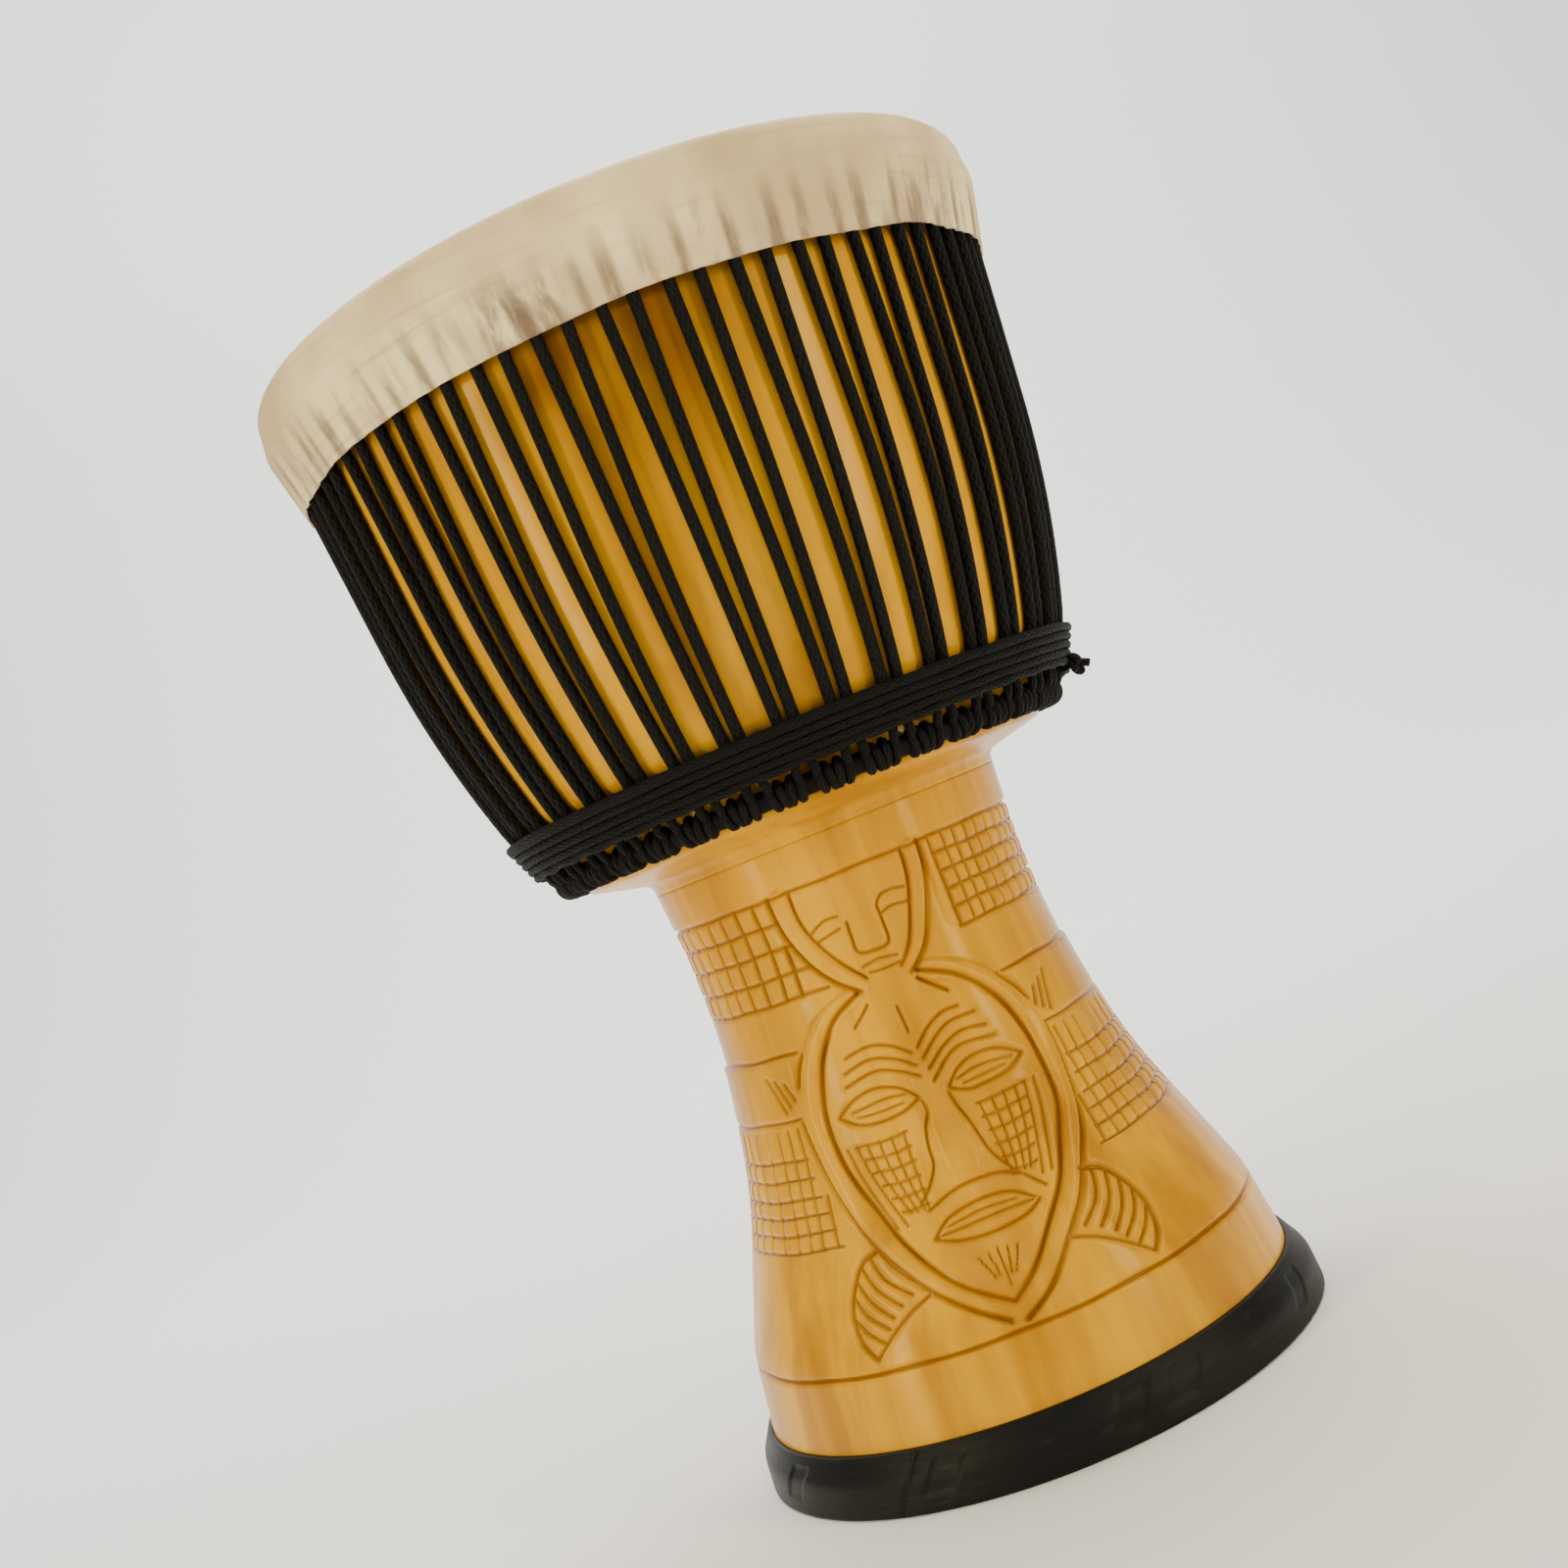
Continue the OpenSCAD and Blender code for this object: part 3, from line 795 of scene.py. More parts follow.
@dataclass
class StemCarving:
    """The carved drawing on the stem, and the relief that it gives.

    The drawing fills the front half and is repeated around the back. A height
    in it is a number of units, each of them unit millimetres.
    """

    unit: float = 0.51
    wander: float = 0.2
    side_step: float = 1.4
    step_top: float = 348.5
    proud_gain: float = 1.15
    cut_gain: float = 1.25

    def strokes(self) -> list[Stroke]:
        """Returns every stroke of the front half."""
        return (self.border_lines() + self.small_mask() + self.large_mask() + self.face()
                + self.panels() + self.leaves())

    def border_lines(self) -> list[Stroke]:
        """Draws the lines that run around the stem.

        Returns:
            The strokes.
        """
        around = tuple((a, 470.0) for a in range(-90, 91, 10))
        low = tuple((a, 103.0) for a in range(-90, 91, 10))
        return [Stroke(around, 3.0, 1.3, False), Stroke(low, 3.4, 1.6, False)] + mirrored([
            cut((35, 348), (60, 348), (90, 348), width=2.8, depth=1.3),
            cut((39, 297), (60, 297), (90, 297), width=2.6, depth=1.2)])

    def small_mask(self) -> list[Stroke]:
        """Draws the shield-shaped mask at the top.

        Returns:
            The strokes.
        """
        fine = 2.4
        return [
            cut((-25, 470), (-24, 440), (-20, 411), (-15, 392), (-8, 376), width=4.0, depth=2.0),
            cut((24.5, 470), (23.5, 447), (20, 418), (15, 393), (8, 376), width=4.0, depth=2.0),
            cut((-18, 469), (-18, 448), (-16, 428), (-11, 404), (-5, 384), width=3.2),
            cut((18.5, 469), (18, 448), (15.5, 425), (11, 400), (6, 384), width=3.2),
            band((-21.5, 468), (-21, 440), (-17.5, 414), (-12, 393), (-7, 380), width=7, height=2.0),
            band((21.5, 468), (20.5, 440), (17, 413), (12, 393), (7, 380), width=7, height=2.0),
            cut((-4.6, 431), (-4.8, 418), (-4.4, 405), (0.5, 402.5), (5, 405), (5.6, 420), (5.8, 434),
                width=3.0),
            cut((5.5, 434), (8, 441), (12, 442), (16, 440), width=fine),
            cut((6.5, 428), (10, 430), (15.5, 428), width=fine),
            cut((-6.5, 438), (-11, 438), (-16, 432), width=fine),
            cut((-7, 428), (-11, 426), (-15.5, 424), width=fine),
            cut((-5, 393), (0.5, 395), (6, 393), width=fine),
            cut((-3.5, 387), (1, 386), (6, 387), width=fine)]

    def large_mask(self) -> list[Stroke]:
        """Draws the rim and the outline of the large mask.

        Returns:
            The strokes.
        """
        deep = {"width": 4.2, "depth": 2.1}
        return [
            cut((-9, 377), (-17, 366), (-23, 351), (-28, 332), (-30.5, 310), (-31.5, 288), (-30.5, 262),
                (-28, 240), (-24, 217), (-19.5, 190), (-14, 164), (-8, 143), (0, 124), **deep),
            cut((9, 377), (18, 364), (25, 347), (30, 327), (32.5, 305), (33, 285), (32, 260),
                (30, 238), (25, 212), (19.5, 187), (12, 160), (6, 140), (0, 124), **deep),
            cut((-33, 345), (-35.5, 334), (-37, 321), width=4.0, depth=1.8),
            cut((-39, 294), (-37.5, 270), (-35, 246), (-31, 219), (-26.5, 195), (-21, 171), (-15, 148),
                (-8, 127), (-2, 112), **deep),
            cut((32.5, 347), (36, 334), (38, 320), width=4.0, depth=1.8),
            cut((39.5, 295), (38.8, 270), (36.5, 246), (33, 218), (27.5, 195), (21.5, 170), (14, 145),
                (7, 123), (1, 109), **deep),
            band((-13, 373), (-22, 362), (-30, 342), (-34.5, 315), (-35.3, 290), (-34, 264), (-31, 236),
                 (-27.5, 210), (-22, 183), (-15, 157), (-7, 134), (0, 117), width=9, height=2.1),
            band((13, 373), (22, 361), (30, 341), (35, 316), (36.2, 293), (35.4, 268), (33, 240),
                 (28.5, 214), (23.5, 189), (17, 163), (9, 138), (0, 117), width=9, height=2.1)]

    def face(self) -> list[Stroke]:
        """Draws the features of the large mask.

        Returns:
            The strokes.
        """
        plain = {"width": 2.9, "depth": 1.4}
        brows = [
            cut((-1, 318), (-6, 329), (-12, 334), (-20, 331), **plain),
            cut((-1, 308), (-6, 318), (-13, 324), (-22, 320), **plain),
            cut((-1, 299), (-6, 308), (-13, 314), (-23, 310), **plain),
            cut((1, 320), (6, 331), (12, 338), (17, 338), **plain),
            cut((1.5, 311), (7, 322), (13, 329), (21, 329), **plain),
            cut((2, 302), (8, 313), (15, 319), (22.5, 316), **plain),
            cut((2, 292), (7, 303), (13, 309), (23.5, 306), **plain)]
        eyes = [
            cut((-3.5, 284), (-8, 296), (-15, 302), (-22, 299), (-27.5, 289), **plain),
            cut((-3.5, 284), (-9, 278), (-16, 277), (-22, 280), (-27.5, 289), **plain),
            cut((-7, 290), (-14, 292), (-23, 290), width=2.4),
            cut((-8, 284.5), (-15, 284), (-22, 285.5), width=2.2, depth=1.0),
            cut((5, 283), (9, 293), (15, 298), (22, 296), (28.5, 285), **plain),
            cut((5, 283), (10, 276), (16, 275), (22, 277), (28.5, 285), **plain),
            cut((8, 286.5), (15, 289), (25, 286), width=2.4),
            cut((9, 281.5), (15, 281.5), (22, 282), width=2.2, depth=1.0)]
        forehead = [
            cut((0, 355), (0.2, 334), width=3.0), cut((-8, 365), (-14, 351), width=2.6),
            cut((9, 370), (16, 352), width=3.4, depth=1.8)]
        nose = [
            cut((-3.2, 281), (-3, 271), (-5, 261), (-6, 247), (-6.2, 234), (-8.5, 222), (-12, 211),
                **plain),
            cut((4.4, 280), (5, 268), (6.4, 255), (7.2, 240), (8.2, 226), (11.5, 209), (16.5, 190),
                **plain),
            band((0.5, 300), (0.7, 272), (0.8, 245), (0.8, 228), width=13, height=1.2)]
        mouth = [
            cut((-11, 204), (-5, 211), (0.5, 213), (8, 211), (12, 205), **plain),
            cut((-11.5, 184), (-7, 195), (0.5, 199), (8, 196), (13, 185), **plain),
            cut((-8, 189), (0.5, 192), (9, 189), width=2.2, depth=1.0),
            cut((-11, 184), (0.5, 185.5), (12.5, 184), width=2.4),
            cut((-12, 183), (-6, 176.5), (3, 174.5), (10, 176.5), (14, 183), **plain)]
        chin = []
        for k in (-2, -1, 0, 1, 2):
            low = 135 if k == 0 else 144
            chin.append(cut((0.4 + 2.2 * k, 163 - 1.5 * abs(k)), (0.3 + 1.1 * k, low), width=2.3))
        return brows + eyes + forehead + nose + mouth + chin + self.cheeks()

    def cheeks(self) -> list[Stroke]:
        """Draws the two beaded cheek panels, whose lines follow the rim.

        Returns:
            The strokes.
        """
        thin = {"width": 2.3, "depth": 1.2}
        top_z = 264
        lines: list[Stroke] = []
        for z in (top_z, 253, 242, 231, 220, 209):
            drop = (top_z - z) / 55
            lines.append(cut((10.0, z), (16, z - 1.0), (25 - 7.5 * drop, z), **thin))
        columns = ((27.5, 19.5), (24.5, 17.0), (21.5, 15.2), (18.0, 13.6), (14.5, 12.0), (11.0, 10.6))
        for top, low in columns:
            reach = 198 if top > 22 else 206
            middle = top - 0.3 * (top - low)
            lines.append(cut((top, top_z), (middle, 238), (low, reach), **thin))
        return mirrored(lines)

    def panels(self) -> list[Stroke]:
        """Draws the hatched panels beside the masks and the slanted strokes under them.

        Returns:
            The strokes.
        """
        hatch = {"width": 2.9, "depth": 1.4}
        lines: list[Stroke] = []
        for z in (470, 450, 430, 409, 389):
            inner = 25.0 - 8.0 * ((470 - z) / 81) ** 1.5
            lines.append(cut((-inner, z), (-50, z), (-90, z), **hatch))
        for a in (-25.5, -31, -38, -45, -51.5, -58, -65, -72, -79, -86):
            top = 470 if a < -26 else 412
            lines.append(cut((a, top), (a, 430), (a - 0.6, 389), width=3.4, depth=1.7))
        for z in (470, 455, 440, 425, 410, 394):
            lines.append(cut((28.5, z), (50, z), (90, z), **hatch))
        lines.append(band((26.3, 468), (26.0, 440), (26.0, 402), width=4, height=1.1))
        for a in (28.5, 34, 38.5, 43.5, 48.5, 54, 60, 66, 72, 78, 84):
            lines.append(cut((a, 470), (a + 0.4, 394), **hatch))
        slanted = [cut((a, 334 - 4 * k), (a - 5 + 1.2 * k, 304 + 4 * k), width=3.4, depth=1.6)
                   for k, a in enumerate((49.5, 46, 42.5))]
        lower: list[Stroke] = []
        for z in (266, 251, 236, 223, 210, 197):
            inner = 41 - 6.5 * ((266 - z) / 69) ** 1.3
            lower.append(cut((inner, z), (52, z), (90, z), width=2.6, depth=1.2))
        for a in (42, 46.3, 51, 57, 63, 69, 75, 81, 87):
            lower.append(cut((a, 290), (a - 0.5, 240), (a - 1, 197), **hatch))
        lower.append(cut((37, 236), (36.2, 197), **hatch))
        return lines + mirrored(slanted + lower)

    def leaves(self) -> list[Stroke]:
        """Draws the two ribbed leaves that spring from the mask's lower rim.

        Returns:
            The strokes.
        """
        lines = [
            cut((25, 189), (30, 183), (33.5, 168), (35.3, 148), (34.2, 128), (31, 113),
                width=3.8, depth=1.9),
            cut((15.5, 149), (21, 141), (26, 129), (31, 113), width=3.0)]
        ribs = (((25, 186), (22, 172), (18.5, 160)), ((28, 184), (25.5, 167), (20, 152)),
                ((31, 179), (28, 161), (23, 146)), ((33, 170), (30, 153), (25.5, 139)),
                ((34.3, 158), (31.5, 144), (27, 132)), ((34.8, 143), (32, 132), (28.5, 123)))
        lines += [cut(*rib, width=3.0, depth=1.5) for rib in ribs]
        return mirrored(lines)

    def relief(self, angle: np.ndarray, height: np.ndarray,
               radius: np.ndarray) -> tuple[np.ndarray, np.ndarray]:
        """Works out the relief at points of the stem.

        Args:
            angle: Angles from the front, in degrees.
            height: Heights in millimetres.
            radius: Stem radii there.

        Returns:
            How far each point moves outwards, in millimetres, and how deep in a cut it is, from 0 to 1.
        """
        folded = np.where(np.abs(angle) <= 90, angle, angle - 180 * np.sign(angle))
        wobble = self.wander * np.sin(height / 7.3 + folded / 5.1)
        z = height + self.wander * np.sin(folded / 3.7 + height / 11.0)
        arc_scale = math.pi / 180
        order = np.argsort(z)
        sorted_z, sorted_r = z[order], radius[order]
        cuts = np.zeros_like(z)
        proud = np.zeros_like(z)
        shade = np.zeros_like(z)
        for stroke in self.strokes():
            line = smooth_curve(list(stroke.points)) if stroke.smooth else np.array(stroke.points)
            line = np.column_stack([line[:, 0], line[:, 1] * self.unit])
            middle = float(np.interp(line[:, 1].mean(), sorted_z, sorted_r)) * arc_scale
            reach = stroke.width
            beyond = reach / middle
            near = ((z > line[:, 1].min() - reach) & (z < line[:, 1].max() + reach)
                    & (folded > line[:, 0].min() - beyond) & (folded < line[:, 0].max() + beyond))
            if not near.any():
                continue
            scale = radius[near] * arc_scale
            u = folded[near] * scale + wobble[near]
            v = z[near]
            gap = np.full(u.shape, 1e9)
            for (a0, z0), (a1, z1) in zip(line, line[1:]):
                x0, x1 = a0 * scale, a1 * scale
                dx, dz = x1 - x0, z1 - z0
                t = np.clip(((u - x0) * dx + (v - z0) * dz) / (dx * dx + dz * dz + 1e-9), 0, 1)
                gap = np.minimum(gap, np.hypot(u - x0 - t * dx, v - z0 - t * dz))
            share = np.clip(1 - gap / (stroke.width / 2), 0, 1)
            if stroke.proud:
                proud[near] = np.maximum(proud[near], stroke.depth * np.sqrt(share * (2 - share)))
            else:
                form = share * share * (3 - 2 * share)
                cuts[near] = np.maximum(cuts[near], stroke.depth * form)
                shade[near] = np.maximum(shade[near], form)
        beside = smoothstep(35, 39, np.abs(folded))
        under = 1 - smoothstep((self.step_top - 2) * self.unit, self.step_top * self.unit, height)
        step = self.side_step * beside * under * smoothstep(200 * self.unit, 330 * self.unit, height)
        return self.proud_gain * proud - self.cut_gain * cuts + step, shade


# ---------------------------------------------------------------- the drum's parts


@dataclass
class DrumForm:
    """The drum's turned form, in millimetres, shared by every part."""

    height: float
    foot_r: float = 123.0
    border_h: float = 56.0
    border_lean: float = 8.0
    flare_lean: float = 20.5
    waist_r: float = 77.8
    waist_curve_r: float = 295.0
    neck_r: float = 80.5
    neck_z: float = 263.0
    seat_r: float = 107.5
    shoulder_rise: float = 13.5
    bowl_lean: float = 5.8
    bowl_curve_r: float = 458.0
    heel_lean: float = 17.8
    heel_r: float = 12.0
    under_lean: float = 62.0
    bowl_r: float = 153.5
    mouth_r: float = 150.0
    mouth_band_h: float = 32.0
    mouth_step_h: float = 18.0
    upper_wall_h: float = 64.0
    mouth_wall: float = 9.0
    sleeve_drop: float = 5.0
    skin_t: float = 0.8
    fit: float = 0.1
    pairs: int = 37
    rope_d: float = 5.0
    rope_gap: float = 0.3
    rope_bend_r: float = 40.0
    cord_d: float = 3.5
    ring_r: float = 2.5

    @property
    def shell_top(self) -> float:
        """Height of the wooden rim, under the skin."""
        return self.height - self.skin_t - self.fit

    @property
    def bowl_max_z(self) -> float:
        """Height where the bowl is widest."""
        return self.shell_top - self.mouth_band_h - self.mouth_step_h

    @property
    def curve_top(self) -> Point:
        """Where the bowl's long curve meets its leaning upper wall."""
        z = self.bowl_max_z - self.upper_wall_h
        return self.bowl_r - (self.bowl_max_z - z) * math.tan(math.radians(self.bowl_lean)), z

    def off(self, centre: Point, radius: float, lean: float) -> Point:
        """Returns the point of an arc where the wall leans by lean."""
        a = math.radians(lean)
        return centre[0] + radius * math.cos(a), centre[1] - radius * math.sin(a)

    @property
    def bowl_centre(self) -> Point:
        """Centre of the bowl's long curve."""
        return self.off(self.curve_top, -self.bowl_curve_r, self.bowl_lean)

    @property
    def heel_centre(self) -> Point:
        """Centre of the heel's rounding."""
        return self.off(self.bowl_centre, self.bowl_curve_r - self.heel_r, self.heel_lean)

    @property
    def sleeve_top(self) -> float:
        """Height where the carved sleeves end, under the neck."""
        return self.neck_z - self.sleeve_drop

    def stem_outline(self) -> list[Point]:
        """Draws the outside of the foot and stem, from the floor to the neck.

        Returns:
            The outline's points.
        """
        border_r = self.foot_r - self.border_h * math.tan(math.radians(self.border_lean))
        waist_z = self.border_h + (border_r - self.waist_r) / math.tan(math.radians(self.flare_lean))
        return rounded([(self.foot_r, 0, 0), (border_r, self.border_h, 50),
                        (self.waist_r, waist_z, self.waist_curve_r),
                        (self.waist_r, self.neck_z - 35, 150), (self.neck_r, self.neck_z, 0)], 8)

    def stem_radius(self, heights: np.ndarray | float) -> np.ndarray | float:
        """Returns the stem's radius at each height."""
        outline = self.outline_table
        return np.interp(heights, outline[:, 1], outline[:, 0])

    @cached_property
    def outline_table(self) -> np.ndarray:
        """The stem's outline as rows of radius and height."""
        return np.array(self.stem_outline())

    def bowl_outline(self) -> list[Point]:
        """Draws the outside of the bowl, from the neck to the bearing edge and its inner lip.

        Returns:
            The outline's points.
        """
        rise = math.tan(math.radians(self.shoulder_rise))
        heel_low = self.off(self.heel_centre, self.heel_r, self.under_lean)
        drop = (heel_low[0] - self.seat_r) / math.tan(math.radians(self.under_lean))
        shoulder = rounded([(self.neck_r - 0.35, self.sleeve_top, 0), (self.neck_r, self.neck_z, 4.5),
                            (self.seat_r, self.neck_z + (self.seat_r - self.neck_r) * rise, 4),
                            (self.seat_r, heel_low[1] - drop, 6), (*heel_low, 0)])
        heel = arc(self.heel_centre, self.heel_r, -self.under_lean, -self.heel_lean, 6)
        side = arc(self.bowl_centre, self.bowl_curve_r, -self.heel_lean, -self.bowl_lean, 24)
        mouth = rounded([(*side[-1], 0), (self.bowl_r, self.bowl_max_z, 12),
                         (self.mouth_r, self.shell_top - self.mouth_band_h, 12),
                         (self.mouth_r, self.shell_top, 6),
                         (self.mouth_r - self.mouth_wall, self.shell_top, 0)])
        return shoulder[:-1] + heel + side[1:-1] + mouth

    def rope_radius(self, z: float) -> float:
        """Follows the tension rope's middle line up the bowl.

        Args:
            z: The height.

        Returns:
            The middle line's radius there.
        """
        off = self.rope_d / 2 + self.rope_gap
        tangent = self.off(self.bowl_centre, self.bowl_curve_r + off, self.bowl_lean)
        if z >= tangent[1]:
            return tangent[0] + (z - tangent[1]) * math.tan(math.radians(self.bowl_lean))
        low = self.off(self.bowl_centre, self.bowl_curve_r + off, self.heel_lean)
        centre, radius = self.bowl_centre, self.bowl_curve_r + off
        if z < low[1]:
            centre = self.off(self.bowl_centre, radius - self.rope_bend_r, self.heel_lean)
            radius = self.rope_bend_r
        return centre[0] + math.sqrt(max(radius ** 2 - (z - centre[1]) ** 2, 0.0))


@dataclass
class Shell:
    """The wooden shell: a bowl with its bore, and the carved stem in two halves."""

    form: DrumForm
    finish: bpy.types.Material
    sleeve_t: float = 9.0
    stem_foot_z: float = 16.0
    fine: float = 0.8
    half_steps: int = 352
    bowl_steps: int = 248

    def rows(self) -> list[float]:
        """Spaces the stem's rows, closest together where it is carved.

        Returns:
            Their heights.
        """
        low = np.arange(self.stem_foot_z, 48, 2.0)
        plain = np.arange(48, 54.5, 0.6)
        carved = np.arange(54.6, 244, self.fine)
        top = np.arange(244, self.form.sleeve_top, 1.6)
        return [*low, *plain, *carved, *top, self.form.sleeve_top]

    def stem_half(self, name: str, start: float) -> None:
        """Builds half of the carved stem as a closed sleeve.

        Args:
            name: The piece's name.
            start: Angle of its first edge.
        """
        heights = np.array(self.rows())
        radii = self.form.stem_radius(heights)
        outline = list(zip(radii.tolist(), heights.tolist()))
        inner = [(radii[-1] - self.sleeve_t, heights[-1]), (radii.min() - self.sleeve_t, 200.0),
                 (radii[0] - self.sleeve_t, heights[0])]
        bm = bmesh.new()
        spun(bm, outline + inner, self.half_steps, start, 180.0, closed=True)
        co = np.array([v.co for v in bm.verts])
        radius = np.hypot(co[:, 0], co[:, 1])
        angle = np.degrees(np.arctan2(co[:, 0], -co[:, 1]))
        skin = radius > self.form.stem_radius(co[:, 2]) - 0.5
        move, shade = StemCarving().relief(angle, co[:, 2], radius)
        slope = np.gradient(self.form.stem_radius(heights), heights)
        lean = np.interp(co[:, 2], heights, slope)
        length = np.sqrt(1 + lean ** 2)
        move = np.where(skin, move, 0.0)
        # Depth in a cut, which the wood finish turns into painted shade and gathered staining in the
        # grooves.
        layer = bm.verts.layers.float.new("carve")
        for v, d, r, g, n, c in zip(bm.verts, move, radius, lean, length, np.where(skin, shade, 0.0)):
            if d:
                out = d / n
                v.co.x += v.co.x / r * out
                v.co.y += v.co.y / r * out
                v.co.z -= g * out
            v[layer] = c
        settle(finished(bm, name, self.finish), "shell")

    def bowl(self) -> None:
        """Builds the bowl, the bore and the foot as one closed turned piece."""
        form = self.form
        outside = resampled(form.bowl_outline(), 9.0)
        core_top = (form.neck_r - self.sleeve_t - 0.5, form.sleeve_top - 0.5)
        core = [(float(form.stem_radius(z)) - self.sleeve_t - 0.6, z)
                for z in (self.stem_foot_z + 0.5, 60, 110, 150, 200)]
        lip_r = form.mouth_r - form.mouth_wall
        bore_r, mouth_r, sole_z = 54.0, 102.0, 3.0
        inside = rounded([(lip_r, form.shell_top, 0), (lip_r, form.bowl_max_z, 40),
                          (136.0, 395.0, 400), (118.5, 311.0, 14), (bore_r, 294.0, 10), (bore_r, 176.0, 120),
                          (mouth_r, 44.0, 40), (mouth_r, sole_z, 0)])
        outer_foot = [(float(form.stem_radius(sole_z)), sole_z),
                      (float(form.stem_radius(self.stem_foot_z)), self.stem_foot_z - 0.05)]
        outline = outer_foot + core + [core_top] + outside + resampled(inside, 12.0)[1:]
        bm = bmesh.new()
        spun(bm, outline, self.bowl_steps, closed=True)
        raw = bm.verts.layers.float.new("raw")
        shade = bm.verts.layers.float.new("shade")
        for v in bm.verts:
            radius = math.hypot(v.co.x, v.co.y)
            limit = np.interp(v.co.z, [0, 44, 176, 263, 300, 395, form.shell_top],
                              [104, 104, 56, 56, 116, 139, form.mouth_r - 4])
            v[raw] = 1.0 if radius < limit else 0.0
            angle = math.degrees(math.atan2(v.co.x, -v.co.y))
            # Painted shadow under the collar: it grows towards the bowl's top and is strongest at the front
            # and near 62 degrees.
            dark = math.exp(-((angle + 4) / 17) ** 2) + 0.6 * math.exp(-((angle - 62) / 14) ** 2) + 0.25
            v[shade] = min(1.0, dark) * float(smoothstep(385, 462, v.co.z))
        settle(finished(bm, "shell_bowl", self.finish), "shell")

    def build(self) -> None:
        """Builds the three pieces."""
        self.bowl()
        self.stem_half("shell_stem_front", -90.0)
        self.stem_half("shell_stem_back", 90.0)


@dataclass
class FootBand:
    """The strip of tyre rubber around the foot, with worn tread marks and a lap joint."""

    form: DrumForm
    finish: bpy.types.Material
    rubber_t: float = 5.5
    height: float = 23.5
    lip_w: float = 13.0
    steps: int = 720
    tread_angles: tuple[float, ...] = (-24.0, 11.0, 22.0, 58.0, 95.0, 131.0, 168.0, -62.0, -101.0,
                                       -140.0)
    lap_angle: float = -31.0

    def build(self) -> None:
        """Builds the band."""
        form = self.form
        wood_r = form.foot_r + form.fit
        top_r = float(form.stem_radius(self.height)) + form.fit
        outline = rounded([
            (wood_r - self.lip_w, 0, 0.5), (wood_r + self.rubber_t, 0, 1.5),
            (wood_r + self.rubber_t - 1, self.height * 0.6, 10), (top_r + 2.2, self.height, 1.2),
            (top_r, self.height, 0), (wood_r - 0.4, 2.9, 0),
            (wood_r - self.lip_w, 2.9, 0)], 5, closed=True)
        bm = bmesh.new()
        spun(bm, resampled(outline + outline[:1], 1.3)[:-1], self.steps, closed=True)
        random.seed(5)
        wear = [(a, random.uniform(0.6, 1.0), random.uniform(5.0, 7.0)) for a in self.tread_angles]
        for v in bm.verts:
            radius = math.hypot(v.co.x, v.co.y)
            if radius < float(form.stem_radius(v.co.z)) + 1.2 or v.co.z < 0.8:
                continue
            angle = math.degrees(math.atan2(v.co.x, -v.co.y))
            depth = 0.25 * math.sin(math.radians(angle) * 3) * math.sin(math.radians(angle) * 7)
            for centre, strength, wide in wear:
                slant = centre + (v.co.z - 12) * 0.32
                away = abs((angle - slant + 180) % 360 - 180)
                inside = min(1.0, max(0.0, (wide / 2 - away) / 0.5))
                tall = min(1.0, max(0.0, (6.5 - abs(v.co.z - 13.5)) / 1.0))
                depth += 0.9 * strength * inside * tall
            lap = angle - self.lap_angle - (v.co.z - 12) * 0.25
            depth += 1.0 * math.exp(-(lap / 0.35) ** 2)
            depth -= 0.5 * max(0.0, 1 - abs(lap - 4) / 4) if 0 < lap < 8 else 0.0
            v.co.x *= 1 - depth / radius
            v.co.y *= 1 - depth / radius
        settle(finished(bm, "foot_rubber_band", self.finish), "foot_band")


